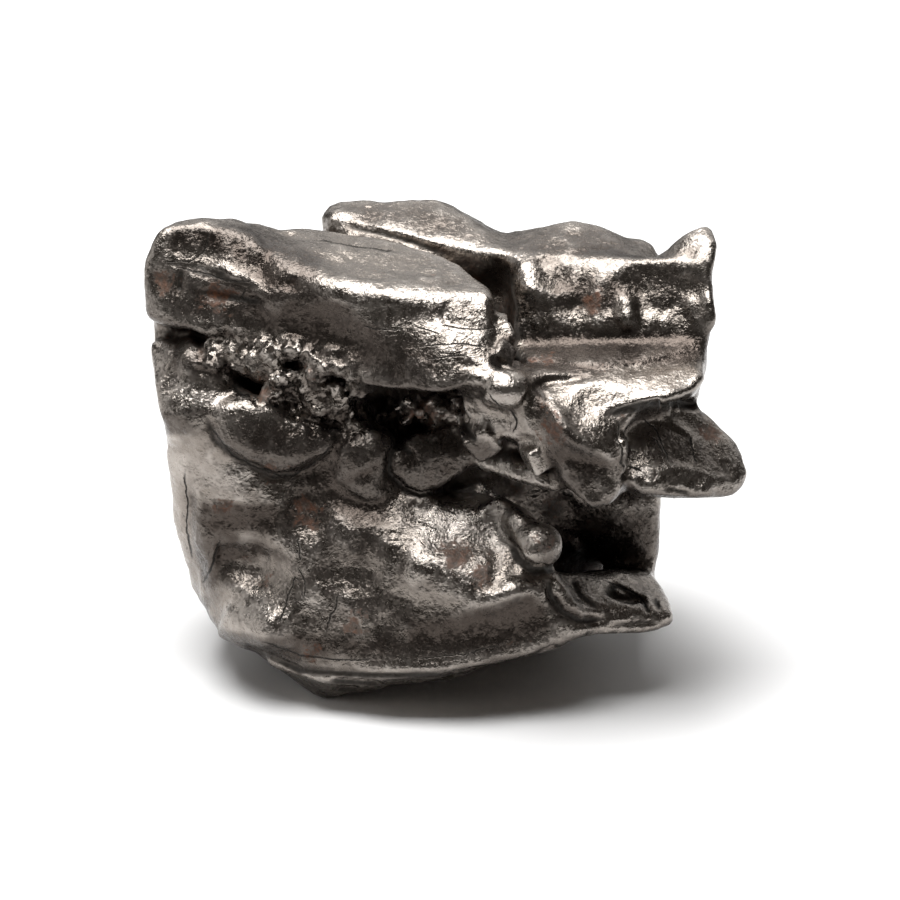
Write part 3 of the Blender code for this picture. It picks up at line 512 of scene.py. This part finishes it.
def workWeather(piece, rng):
    mesh = piece.data
    co, normal, _ = readMesh(mesh)
    count = len(co)
    finder = KDTree(count)
    for i, v in enumerate(mesh.vertices):
        finder.insert(v.co, i)
    finder.balance()
    lift = np.zeros(count)
    for name in ("dint", "pit"):
        for _ in range(weathering[name + "s"]):
            size = rng.uniform(*weathering[name + "Size"]) * mm
            found = finder.find_range(mesh.vertices[rng.randrange(count)].co, size)
            which = np.array([i for _, i, _ in found])
            s = np.array([d for _, _, d in found]) / size
            lift[which] -= size * weathering[name + "Depth"] * rng.uniform(0.4, 1.0) * (1.0 - s * s) ** 2
    trail = []
    for _ in range(weathering["cracks"]):
        spot = mesh.vertices[rng.randrange(count)]
        if spot.normal.dot(lookAlong) < 0.1 and spot.co.y < 0.0:
            continue
        heading = spot.normal.cross(Vector([rng.uniform(-1.0, 1.0) for _ in range(3)])).normalized()
        width = rng.uniform(*weathering["crackWidth"]) * mm
        stretch = rng.uniform(*weathering["crackLength"]) * mm
        place, walked = spot.co.copy(), 0.0
        cut = {}
        while walked < stretch:
            found = finder.find_range(place, width)
            ease = min(1.0, 3.0 * min(walked, stretch - walked) / stretch + 0.2)
            for _, i, d in found:
                cut[i] = max(cut.get(i, 0.0), ease * (1.0 - d / width) ** 1.6)
            trail.append((place.copy(), 0.7 * width, ease))
            step = 0.35 * width
            turn = rng.uniform(-0.45, 0.45)
            _, i, _ = finder.find(place + heading * step)
            here = mesh.vertices[i]
            sideways = here.normal.cross(heading)
            heading = (heading + sideways * turn - here.normal * heading.dot(here.normal)).normalized()
            place = place + heading * step
            _, i, _ = finder.find(place)
            place = place.lerp(mesh.vertices[i].co, 0.5)
            walked += step
        for i, amount in cut.items():
            lift[i] -= amount * width * 1.1
    writeMesh(mesh, co + normal * lift[:, None])
    return trail


def unevenness(piece, name, kind):
    size, height = weathering[name]
    texture = bpy.data.textures.new(name, kind)
    texture.noise_scale = size * mm
    applyModifier(
        piece, "DISPLACE", texture=texture, texture_coords="LOCAL", strength=height * mm, mid_level=0.5
    )


# Where the iron has rusted, as seen on the front: (x, rise), reach and strength
rustSpots = [
    ((-14.2, 20.9), 1.3, 0.9), ((-11.5, 20.1), 1.4, 1.0), ((-9.3, 15.5), 1.3, 0.9),
    ((-6.8, 16.2), 1.4, 0.6), ((-1.2, 14.6), 1.6, 0.9), ((-8.8, 11.6), 1.5, 0.8),
    ((-11.2, 9.6), 1.2, 0.8), ((-7.1, 9.4), 1.2, 1.0), ((0.3, 7.2), 1.6, 1.0),
    ((1.6, 6.4), 1.4, 0.9), ((-4.8, 3.9), 1.0, 0.9), ((-7.0, 2.3), 0.9, 0.9),
    ((4.4, 8.0), 1.2, 0.8), ((7.1, 19.9), 1.0, 1.0), ((5.0, 13.6), 1.6, 0.8),
    ((13.0, 13.4), 1.2, 0.9), ((-3.8, 21.2), 1.1, 0.6), ((-0.9, 21.2), 0.8, 0.5),
    ((4.6, 17.2), 1.6, 0.7), ((7.6, 16.6), 1.2, 0.6), ((3.5, 2.4), 1.6, 0.5),
    ((-10.3, 7.3), 1.2, 0.6), ((12.6, 23.0), 0.9, 0.6), ((-0.6, 19.0), 1.2, 0.35),
    ((5.6, 6.6), 1.0, 0.8), ((-13.0, 4.6), 1.4, 0.6), ((-9.3, 5.9), 1.0, 0.7),
]

# The size of the tongues of rust at a patch's edge, mm, and how far they reach, as a share of the patch
rustEdge = {"size": 0.6, "reach": 0.6}

# How many rays are sent from each place on the skin to find what shelters it, how far off the skin they
# start and how far they go, mm. The sheltered share is painted darker into the colour, as shade
shelter = {"rays": 14, "lift": 0.12, "reach": 3.0}


def skyRays(count):
    # directions spread evenly over a ball
    golden = math.pi * (3.0 - math.sqrt(5.0))
    rays = []
    for i in range(count):
        up = 1.0 - 2.0 * (i + 0.5) / count
        out = math.sqrt(1.0 - up * up)
        rays.append((out * math.cos(golden * i), out * math.sin(golden * i), up))
    return rays


# Deep places on the front that hardly any light reaches, painted dark as shade: (x, rise), reach and
# strength
shadeSpots = [
    ((5.2, 9.6), 1.6, 0.9), ((3.4, 10.5), 1.2, 0.9), ((7.2, 8.6), 1.6, 0.8),
    ((9.0, 7.2), 1.4, 0.7), ((2.8, 10.8), 0.9, 0.8), ((-14.0, 18.2), 1.0, 0.9),
    ((-12.4, 17.3), 0.9, 0.7), ((-3.7, 14.8), 1.0, 0.9), ((-3.2, 15.3), 0.7, 0.8),
    ((2.5, 19.5), 0.9, 0.8), ((2.9, 21.0), 0.8, 0.7), ((8.6, 14.0), 0.5, 0.8),
    ((12.2, 14.7), 0.9, 0.8), ((-7.8, 20.75), 0.6, 0.8), ((8.7, 5.3), 0.6, 0.7),
    ((6.0, 5.9), 0.8, 0.5),
]


# Where the old dark skin is left and where it is rubbed off on the front, painting shade and highlights
# into
# the colour as well: half-width, mm, how dark (less than 0 is brighter), then (x, rise) along each
patinaAndPaintedLight = {
    "upper end": (2.0, 0.75, [(-14.2, 20.6), (-11.0, 20.0), (-8.2, 19.6)]),
    "shelf front": (1.9, 0.9, [(-8.0, 19.2), (-5.4, 18.2), (-3.2, 17.2), (-0.8, 16.2)]),
    "shelf front right": (1.5, -0.4, [(-2.4, 19.0), (1.8, 18.2)]),
    "end top": (1.0, 0.9, [(-14.0, 23.2), (-12.4, 23.2), (-10.8, 22.9)]),
    "shelf corner": (1.5, 1.0, [(-10.6, 23.0), (-8.6, 22.0), (-6.6, 21.1)]),
    "flank": (1.5, -1.0, [(-13.4, 12.4), (-11.8, 11.2), (-9.8, 11.0)]),
    "scratched": (0.9, 0.9, [(-11.8, 9.3), (-8.6, 9.0)]),
    "left edge": (0.8, -1.0, [(-13.9, 12.6), (-13.6, 8.6), (-12.9, 5.6)]),
    "lip": (0.7, -0.9, [
        (-10.0, 2.0), (-7.5, 0.9), (-4.0, 0.6), (-0.5, 0.9), (2.5, 1.3), (5.5, 2.2), (8.4, 3.2),
    ]),
    "crest": (1.1, 0.6, [(-5.4, 24.2), (-2.0, 24.2), (1.0, 23.4)]),
    "crest right": (0.9, 0.6, [(2.5, 23.1), (6.0, 23.1), (10.0, 22.6)]),
    "wall top": (0.7, 0.6, [(3.4, 22.1), (8.0, 22.1), (11.8, 21.9)]),
    "horn": (0.8, 0.5, [(12.3, 22.8), (12.9, 20.4)]),
    "wall": (1.4, 0.8, [(5.0, 20.4), (8.4, 20.4)]),
    "bowl": (1.0, 0.5, [(9.0, 20.6), (11.4, 20.4)]),
    "right shelf back": (1.1, 1.5, [(2.4, 17.5), (7.5, 17.5), (12.6, 17.6)]),
    "pocket": (0.7, 0.8, [(3.4, 16.8), (5.6, 16.5), (7.5, 16.4)]),
    "right shelf rim": (0.5, -0.8, [(7.6, 14.5), (10.0, 15.2), (12.4, 16.0)]),
    "nose": (1.3, -0.2, [(5.6, 15.2), (8.4, 13.4)]),
    "nose side": (0.7, 0.9, [(4.2, 16.0), (4.8, 14.2), (6.0, 12.8)]),
    "nose flank": (1.1, -0.8, [(1.4, 14.3), (3.8, 13.2)]),
    "knob": (0.9, -1.3, [(2.4, 15.6), (2.7, 15.5), (3.0, 15.4), (3.3, 15.3)]),
    "ear": (1.7, 0.35, [(9.2, 13.1), (13.4, 12.4)]),
    "tongue": (1.5, 0.95, [(5.9, 12.2), (7.0, 10.7)]),
    "wedge": (1.8, 1.3, [(-2.4, 12.0), (0.4, 12.3)]),
    "ledge": (0.8, -0.9, [(1.4, 12.0), (4.4, 11.4)]),
    "pillow": (1.7, 0.95, [(-10.8, 13.6), (-8.6, 12.7), (-6.6, 12.6)]),
    "dome": (2.0, 1.0, [(-5.4, 13.0), (-4.2, 10.8)]),
    "shoulder top": (0.8, 0.8, [(-14.0, 17.2), (-11.0, 16.4)]),
    "shoulder": (1.0, -0.8, [(-14.0, 15.6), (-11.4, 14.9)]),
    "shoulder low": (0.7, 0.8, [(-14.4, 13.9), (-13.0, 13.8)]),
    "dish": (2.3, 0.75, [(-8.2, 10.0), (-5.0, 9.6), (-3.2, 8.0)]),
    "left of the crack": (1.5, 0.55, [(-12.2, 9.4), (-11.6, 7.0), (-10.6, 5.8)]),
    "under the dish": (1.6, 0.45, [(-7.4, 7.0), (-5.0, 5.8), (-3.4, 4.6)]),
    "lower band": (1.5, 0.95, [(-2.4, 3.2), (2.0, 3.3), (5.0, 4.4)]),
    "lower left": (0.9, 0.8, [(-8.4, 2.9), (-3.0, 2.6)]),
    "apron": (1.9, -0.9, [(-1.8, 8.4), (1.4, 9.4), (3.2, 8.2)]),
    "apron left": (1.2, -0.9, [(-11.4, 4.4), (-9.0, 4.6)]),
    "apron low": (0.8, -0.8, [(-7.6, 5.2), (-6.2, 4.8)]),
    "foot": (1.3, 0.4, [(6.0, 5.2), (10.2, 5.0)]),
    "rear wall": (2.2, 0.9, [(6.6, 8.2), (10.2, 8.2)]),
    "ball": (1.0, 0.5, [(4.6, 8.0), (5.4, 7.6)]),
}

# How an edge is told from a hollow: by how far the skin stands out of its own smoothed shape, mm, once
# over a few facets and once over many. What faces down is painted darker, as shade
wearAndShade = {
    "fineRounds": 6,
    "fineEdge": 0.05,
    "broadRounds": 40,
    "broadEdge": 0.3,
    "underFrom": 0.25,
    "underFade": 0.5,
    "underShade": 0.75,
}


def spotsOn(skin, spots, ragged=0.0):
    # how strongly each point of the skin lies in one of these patches, round or with ragged edges
    values = np.zeros(len(skin["co"]))
    for (x, rise), reach, strength in spots:
        hit = skin["tree"].ray_cast(seen(x, rise, -40.0), lookAlong)[0]
        if hit is not None:
            apart = np.linalg.norm(skin["co"] - np.array(hit), axis=1) / (reach * mm) + ragged
            values = np.maximum(values, strength * np.clip(1.0 - apart, 0.0, 1.0) ** 0.7)
    return values


def paintSkin(piece, trail):
    mesh = piece.data
    skin = readSkin(piece)
    co, normal, ends, tree = skin["co"], skin["normal"], skin["ends"], skin["tree"]
    fine = ((spreadOver(co, ends, wearAndShade["fineRounds"]) - co) * normal).sum(axis=1)
    broad = ((spreadOver(co, ends, wearAndShade["broadRounds"]) - co) * normal).sum(axis=1)
    worn = np.clip(-fine / (wearAndShade["fineEdge"] * mm), 0.0, 1.0) * 0.5
    worn += np.clip(-broad / (wearAndShade["broadEdge"] * mm), 0.0, 1.0) * 0.5

    # painted shade: each point is darkened by the share of its rays that meet the skin again, and in the
    # listed deep spots
    shadeAndDirt = np.zeros(len(co))
    rays = [Vector(r) for r in skyRays(shelter["rays"])]
    for i, vertex in enumerate(mesh.vertices):
        start = vertex.co + vertex.normal * (shelter["lift"] * mm)
        for ray in rays:
            if tree.ray_cast(start, ray + vertex.normal, shelter["reach"] * mm)[0] is not None:
                shadeAndDirt[i] += 1.0 / len(rays)
    shadeAndDirt = spreadOver(shadeAndDirt[:, None], ends, 2)[:, 0]
    shadeAndDirt = np.maximum(shadeAndDirt, spotsOn(skin, shadeSpots))

    cracked = np.zeros(len(co))
    for profile, width, height, path in frontCuts.values():
        if profile == "sharp":
            near, s, fade = traceMark(skin, max(0.17, 0.7 * width), path)
            dark = min(1.0, -3.0 * height) * fade * (1.0 - s * s)
            cracked[near] = np.maximum(cracked[near], dark)
    hairSide = np.ones(len(co))
    hair = np.zeros(len(co))
    for width, strength, path in hairlines.values():
        near, s, fade = traceMark(skin, width, path)
        hairSide[near] = s
        hair[near] = strength * fade * (1.0 - s * s)
    # each stroke lays old skin with painted shade, or rubbed metal with painted highlight
    skinShadeAndHighlight = np.zeros(len(co))
    for width, strength, path in patinaAndPaintedLight.values():
        near, s, fade = traceMark(skin, width, path)
        skinShadeAndHighlight[near] += strength * np.clip(fade * 1.5, 0.0, 1.0) * (1.0 - s * s)
    # painted shade: what faces down is darkened
    upward = spreadOver(normal, ends, 3)[:, 2]
    under = np.clip((wearAndShade["underFrom"] - upward) / wearAndShade["underFade"], 0.0, 1.0)
    skinShadeAndHighlight = np.clip(skinShadeAndHighlight + wearAndShade["underShade"] * under, -1.0, 1.0)
    finder = KDTree(len(co))
    for i, vertex in enumerate(mesh.vertices):
        finder.insert(vertex.co, i)
    finder.balance()
    for place, width, strength in trail:
        for _, i, apart in finder.find_range(place, width):
            cracked[i] = max(cracked[i], strength * (1.0 - (apart / width) ** 2))

    wobble = np.array([noise.noise(Vector(point) / (rustEdge["size"] * mm)) for point in co])
    rust = spotsOn(skin, rustSpots, rustEdge["reach"] * wobble)
    patches = [((x, rise), max(half) + 0.8, 1.0) for (x, rise, _), half, _, _ in crystals.values()]
    crystal = np.clip(2.0 * spotsOn(skin, patches), 0.0, 1.0)
    layers = {
        "worn": worn, "shadeAndDirt": shadeAndDirt, "cracked": cracked, "hair": hair, "hairSide": hairSide,
        "skinShadeAndHighlight": skinShadeAndHighlight, "rust": rust, "crystal": crystal,
    }
    for name, values in layers.items():
        layer = mesh.attributes.new(name, "FLOAT", "POINT")
        layer.data.foreach_set("value", values.astype(np.float32))
        print(name, "reaches", round(float(np.percentile(values, 98)), 3))


# Worn nickel-iron: dark in old skin and painted shade, grey metal, bright in rubbed places and painted
# highlights
ironFinish = {
    "oldSkinAndShade": (0.048, 0.038, 0.032, 1.0),
    "skin": (0.136, 0.115, 0.099, 1.0),
    "metal": (0.21, 0.185, 0.163, 1.0),
    "rubbed": (0.335, 0.304, 0.275, 1.0),
    # the colour of painted shade in hollows and of dark crack lines
    "shadeAndCracks": (0.016, 0.013, 0.01, 1.0),
    "rust": (0.11, 0.037, 0.013, 1.0),
    "rustDark": (0.036, 0.018, 0.01, 1.0),
    "patchSize": 2.4,  # mm, the size of the darker patches
    "grainSize": 0.3,
    "grainHeight": 0.065,
    "speckSize": 0.09,
    "speckHeight": 0.018,
    "hairDepth": 0.05,
    "facetSize": 0.13,  # mm, the tiny crystal faces that glint
    "facetTilt": 0.22,
    "oldTilt": 0.12,
    "crystalSize": 0.28,
    "crystalTilt": 0.8,
}


def ironMaterial():
    material = bpy.data.materials.new("wornIron")
    material.use_nodes = True
    tree = material.node_tree
    tree.nodes.clear()

    def node(kind, **settings):
        made = tree.nodes.new(kind)
        for name, value in settings.items():
            setattr(made, name, value)
        return made

    def join(source, target):
        tree.links.new(source, target)

    def noiseAt(size, detail, roughness=0.55, distortion=0.0):
        made = node("ShaderNodeTexNoise")
        made.inputs["Scale"].default_value = 1.0 / (size * mm)
        made.inputs["Detail"].default_value = detail
        made.inputs["Roughness"].default_value = roughness
        made.inputs["Distortion"].default_value = distortion
        join(place.outputs["Object"], made.inputs["Vector"])
        return made.outputs["Fac"]

    def ranged(value, low, high, toLow=0.0, toHigh=1.0):
        made = node("ShaderNodeMapRange", clamp=True, interpolation_type="SMOOTHSTEP")
        made.inputs["From Min"].default_value = low
        made.inputs["From Max"].default_value = high
        made.inputs["To Min"].default_value = toLow
        made.inputs["To Max"].default_value = toHigh
        join(value, made.inputs["Value"])
        return made.outputs["Result"]

    def maths(operation, first, second):
        made = node("ShaderNodeMath", operation=operation)
        for socket, value in zip(made.inputs, (first, second)):
            if isinstance(value, (int, float)):
                socket.default_value = value
            else:
                join(value, socket)
        return made.outputs["Value"]

    def mixed(factor, first, second):
        made = node("ShaderNodeMix", data_type="RGBA")
        join(factor, made.inputs["Factor"])
        for socket, value in ((made.inputs[6], first), (made.inputs[7], second)):
            if isinstance(value, tuple):
                socket.default_value = value
            else:
                join(value, socket)
        return made.outputs[2]

    def attribute(name):
        return node("ShaderNodeAttribute", attribute_name=name).outputs["Fac"]

    place = node("ShaderNodeTexCoord")
    worn = attribute("worn")
    shadeAndDirt = attribute("shadeAndDirt")
    cracked = attribute("cracked")
    hair = attribute("hair")
    hairSide = attribute("hairSide")
    skinShadeAndHighlight = attribute("skinShadeAndHighlight")
    rustMask = attribute("rust")
    crystal = attribute("crystal")

    patches = noiseAt(ironFinish["patchSize"], 5.0, 0.6)
    mottle = noiseAt(0.5, 5.0, 0.65)
    grain = noiseAt(ironFinish["grainSize"], 3.0, 0.6)
    speck = noiseAt(ironFinish["speckSize"], 2.0, 0.6)

    bareness = maths("ADD", maths("MULTIPLY", patches, 0.7), maths("MULTIPLY", mottle, 0.5))
    cleaned = ranged(maths("SUBTRACT", bareness, maths("MULTIPLY", shadeAndDirt, 0.25)), 0.25, 0.6)
    colour = mixed(cleaned, ironFinish["skin"], ironFinish["metal"])
    broken = maths("MULTIPLY", maths("SUBTRACT", mottle, 0.5), 0.9)
    # dark: old skin together with painted shade
    dark = ranged(maths("ADD", skinShadeAndHighlight, broken), 0.0, 1.0, 0.0, 0.95)
    colour = mixed(dark, colour, ironFinish["oldSkinAndShade"])
    edges = maths("MULTIPLY", ranged(worn, 0.15, 0.8), ranged(mottle, 0.35, 0.65, 0.3, 1.0))
    edges = maths("MULTIPLY", edges, maths("SUBTRACT", 1.0, maths("MULTIPLY", dark, 0.85)))
    # painted highlights from the brighter strokes join the rubbed edges here
    edges = maths("MAXIMUM", edges, ranged(maths("SUBTRACT", broken, skinShadeAndHighlight), 0.1, 1.0))
    colour = mixed(edges, colour, ironFinish["rubbed"])
    # painted shade in sheltered hollows, kept lighter among the crystals, together with dark crack lines
    shadeLeft = maths("SUBTRACT", 0.95, maths("MULTIPLY", crystal, 0.6))
    shadeAndCrackMask = maths("MULTIPLY", ranged(shadeAndDirt, 0.5, 0.85), shadeLeft)
    shadeAndCrackMask = maths("MAXIMUM", shadeAndCrackMask, maths("MULTIPLY", ranged(cracked, 0.15, 0.8), 0.9))
    # hairline cracks wander a little to both sides of their path
    wander = maths("ADD", hairSide, maths("MULTIPLY", maths("SUBTRACT", mottle, 0.5), 0.9))
    wander = maths("ADD", wander, maths("MULTIPLY", maths("SUBTRACT", speck, 0.5), 0.3))
    groove = ranged(maths("ABSOLUTE", wander, 0.0), 0.05, 0.2, 1.0, 0.0)
    groove = maths("MULTIPLY", groove, ranged(hair, 0.1, 0.4))
    shadeAndCrackMask = maths("MAXIMUM", shadeAndCrackMask, groove)
    colour = mixed(shadeAndCrackMask, colour, ironFinish["shadeAndCracks"])
    blotch = noiseAt(0.35, 6.0, 0.75, 0.5)
    stain = ranged(maths("ADD", maths("MULTIPLY", rustMask, 0.45), blotch), 0.74, 0.86)
    dirt = maths("ADD", maths("MULTIPLY", shadeAndDirt, 0.35), maths("MULTIPLY", patches, 0.4))
    dirt = maths("ADD", dirt, maths("MULTIPLY", blotch, 0.6))
    stain = maths("MAXIMUM", stain, ranged(dirt, 0.68, 0.9, 0.0, 0.7))
    rusty = mixed(ranged(grain, 0.35, 0.65), ironFinish["rustDark"], ironFinish["rust"])
    colour = mixed(maths("MULTIPLY", stain, 0.65), colour, rusty)

    rough = ranged(mottle, 0.3, 0.7, 0.22, 0.34)
    rough = maths("ADD", rough, maths("MULTIPLY", stain, 0.25))
    rough = maths("ADD", rough, maths("MULTIPLY", shadeAndCrackMask, 0.2))
    metallic = maths("SUBTRACT", 1.0, maths("MULTIPLY", maths("MAXIMUM", stain, shadeAndCrackMask), 0.7))
    metallic = maths("MULTIPLY", metallic, maths("SUBTRACT", 1.0, maths("MULTIPLY", dark, 0.15)))

    fineBump = node("ShaderNodeBump")
    fineBump.inputs["Distance"].default_value = ironFinish["speckHeight"] * mm
    join(speck, fineBump.inputs["Height"])
    grainBump = node("ShaderNodeBump")
    grainBump.inputs["Distance"].default_value = ironFinish["grainHeight"] * mm
    join(grain, grainBump.inputs["Height"])
    join(fineBump.outputs["Normal"], grainBump.inputs["Normal"])
    hairBump = node("ShaderNodeBump", invert=True)
    hairBump.inputs["Distance"].default_value = ironFinish["hairDepth"] * mm
    join(groove, hairBump.inputs["Height"])
    join(grainBump.outputs["Normal"], hairBump.inputs["Normal"])

    def tilted(normal, size, amount):
        # little flat faces, each leaning its own way
        cells = node("ShaderNodeTexVoronoi")
        cells.inputs["Scale"].default_value = 1.0 / (size * mm)
        join(place.outputs["Object"], cells.inputs["Vector"])
        leaning = node("ShaderNodeVectorMath", operation="SUBTRACT")
        join(cells.outputs["Color"], leaning.inputs[0])
        leaning.inputs[1].default_value = (0.5, 0.5, 0.5)
        scaled = node("ShaderNodeVectorMath", operation="SCALE")
        join(leaning.outputs["Vector"], scaled.inputs[0])
        join(amount, scaled.inputs["Scale"])
        added = node("ShaderNodeVectorMath", operation="ADD")
        join(normal, added.inputs[0])
        join(scaled.outputs["Vector"], added.inputs[1])
        return added.outputs["Vector"]

    fineTilt = maths("MULTIPLY", ranged(mottle, 0.35, 0.65, 0.3, 1.0), ironFinish["facetTilt"])
    fineTilt = maths("ADD", fineTilt, maths("MULTIPLY", dark, ironFinish["oldTilt"]))
    facing = tilted(hairBump.outputs["Normal"], ironFinish["facetSize"], fineTilt)
    coarseTilt = maths("MULTIPLY", crystal, ironFinish["crystalTilt"])
    facing = tilted(facing, ironFinish["crystalSize"], coarseTilt)
    glint = node("ShaderNodeVectorMath", operation="NORMALIZE")
    join(facing, glint.inputs[0])

    shader = node("ShaderNodeBsdfPrincipled")
    shader.inputs["Specular IOR Level"].default_value = 0.25
    join(colour, shader.inputs["Base Color"])
    join(rough, shader.inputs["Roughness"])
    join(metallic, shader.inputs["Metallic"])
    join(glint.outputs["Vector"], shader.inputs["Normal"])
    out = node("ShaderNodeOutputMaterial")
    join(shader.outputs["BSDF"], out.inputs["Surface"])
    return material


def dropSpecks(piece):
    # keeps only what hangs together with the highest point
    bpy.ops.object.mode_set(mode="EDIT")
    bpy.ops.mesh.select_all(action="DESELECT")
    bpy.ops.object.mode_set(mode="OBJECT")
    highest = max(piece.data.vertices, key=lambda vertex: vertex.co.z)
    highest.select = True
    bpy.ops.object.mode_set(mode="EDIT")
    bpy.ops.mesh.select_linked()
    bpy.ops.mesh.select_all(action="INVERT")
    bpy.ops.mesh.delete(type="VERT")
    bpy.ops.object.mode_set(mode="OBJECT")


def makeLump():
    rng = random.Random(lump["seed"])
    piece = copyOfNode(lump["node"])
    applyModifier(piece, "REMESH", mode="VOXEL", voxel_size=lump["grain"] * mm)
    applyModifier(piece, "SMOOTH", factor=0.5, iterations=lump["settle"])
    print("skin", len(piece.data.polygons), "faces")
    workMarks(piece, frontForms)
    unevenness(piece, "swell", "CLOUDS")
    wedgeStones(piece, rng)
    growCrystals(piece, rng)
    applyModifier(piece, "REMESH", mode="VOXEL", voxel_size=lump["grain"] * mm)
    workMarks(piece, frontCuts)
    facetCrystals(piece, rng)
    trail = workWeather(piece, rng)
    unevenness(piece, "hammered", "CLOUDS")
    unevenness(piece, "rough", "CLOUDS")
    applyModifier(piece, "REMESH", mode="VOXEL", voxel_size=0.85 * lump["grain"] * mm)
    dropSpecks(piece)
    applyModifier(piece, "TRIANGULATE")
    applyModifier(piece, "DECIMATE", ratio=min(1.0, lump["most"] / len(piece.data.polygons)))
    low = min(v.co.z for v in piece.data.vertices)
    for vertex in piece.data.vertices:
        vertex.co.z = max(vertex.co.z, cadBox[0][2])
    print("lowest point before it is stood flat", round(low / mm, 3), "mm")
    paintSkin(piece, trail)
    piece.data.materials.clear()
    piece.data.materials.append(ironMaterial())
    bpy.ops.object.select_all(action="DESELECT")
    piece.select_set(True)
    bpy.context.view_layer.objects.active = piece
    bpy.ops.object.shade_smooth()
    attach(piece, "root")
    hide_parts(lump["node"])
    print("lump", len(piece.data.polygons), "triangles")


makeLump()

# The stage: a white card on a greyer table, a big soft box above, a faint low one at the left and a wide
# one behind
stage = {
    "floorSize": 4.0,
    "floorColour": (0.9, 0.9, 0.9, 1.0),
    "farColour": (0.34, 0.336, 0.332, 1.0),  # the table around the white card
    "cardMiddle": (0.0, 0.03, 0.0),
    "cardEdge": (0.066, 0.09),
    "aim": (0.0, 0.0, 0.012),
    "above": {"at": (-0.014, 0.002, 0.13), "size": (0.12, 0.1), "power": 0.36},
    "left": {"at": (-0.2, 0.0, 0.07), "size": (0.1, 0.12), "power": 0.062},
    "behind": {"at": (0.03, 0.2, 0.13), "size": (0.4, 0.18), "power": 0.25},
    "air": (0.12, 0.107, 0.096, 1.0),
    "airStrength": 0.5,
}

bpy.ops.mesh.primitive_plane_add(size=stage["floorSize"], location=(0.0, 0.0, 0.0))
floor = bpy.context.object
floor.name = "floor"
floorPaint = bpy.data.materials.new("whiteFloor")
floorPaint.use_nodes = True
paint = floorPaint.node_tree.nodes["Principled BSDF"]
paint.inputs["Roughness"].default_value = 1.0
nodes, links = floorPaint.node_tree.nodes, floorPaint.node_tree.links
where = nodes.new("ShaderNodeTexCoord")
outward = nodes.new("ShaderNodeVectorMath")
outward.operation = "DISTANCE"
outward.inputs[1].default_value = stage["cardMiddle"]
links.new(where.outputs["Object"], outward.inputs[0])
edge = nodes.new("ShaderNodeMapRange")
edge.interpolation_type = "SMOOTHSTEP"
edge.inputs["From Min"].default_value, edge.inputs["From Max"].default_value = stage["cardEdge"]
links.new(outward.outputs["Value"], edge.inputs["Value"])
tone = nodes.new("ShaderNodeMix")
tone.data_type = "RGBA"
tone.inputs[6].default_value = stage["floorColour"]
tone.inputs[7].default_value = stage["farColour"]
links.new(edge.outputs["Result"], tone.inputs["Factor"])
links.new(tone.outputs[2], paint.inputs["Base Color"])
floor.data.materials.append(floorPaint)

for name in ("above", "left", "behind"):
    box = stage[name]
    bpy.ops.object.light_add(type="AREA", location=box["at"])
    lamp = bpy.context.object
    lamp.name = name
    lamp.data.shape = "RECTANGLE"
    lamp.data.size, lamp.data.size_y = box["size"]
    lamp.data.energy = box["power"]
    aimed = Vector(stage["aim"]) - Vector(box["at"])
    lamp.rotation_mode = "QUATERNION"
    lamp.rotation_quaternion = aimed.to_track_quat("-Z", "Y")

air = bpy.data.worlds.new("air")
air.use_nodes = True
air.node_tree.nodes["Background"].inputs["Color"].default_value = stage["air"]
air.node_tree.nodes["Background"].inputs["Strength"].default_value = stage["airStrength"]
bpy.context.scene.world = air
bpy.context.scene.view_settings.view_transform = "Standard"
print("stage set")

# The camera: far off with a long lens, so that the frame is 45 mm wide at the lump
shot = {"lens": 800.0, "away": 1.0, "aimX": 0.0, "aimRise": 12.5, "aimBack": 3.0}
aim = seen(shot["aimX"], shot["aimRise"], shot["aimBack"])
bpy.ops.object.camera_add(location=aim - lookAlong * shot["away"])
camera = bpy.context.object
camera.data.lens = shot["lens"]
camera.data.clip_start = 0.1
camera.data.clip_end = 10.0
camera.rotation_mode = "QUATERNION"
camera.rotation_quaternion = lookAlong.to_track_quat("-Z", "Y")
bpy.context.scene.camera = camera
print("camera set")
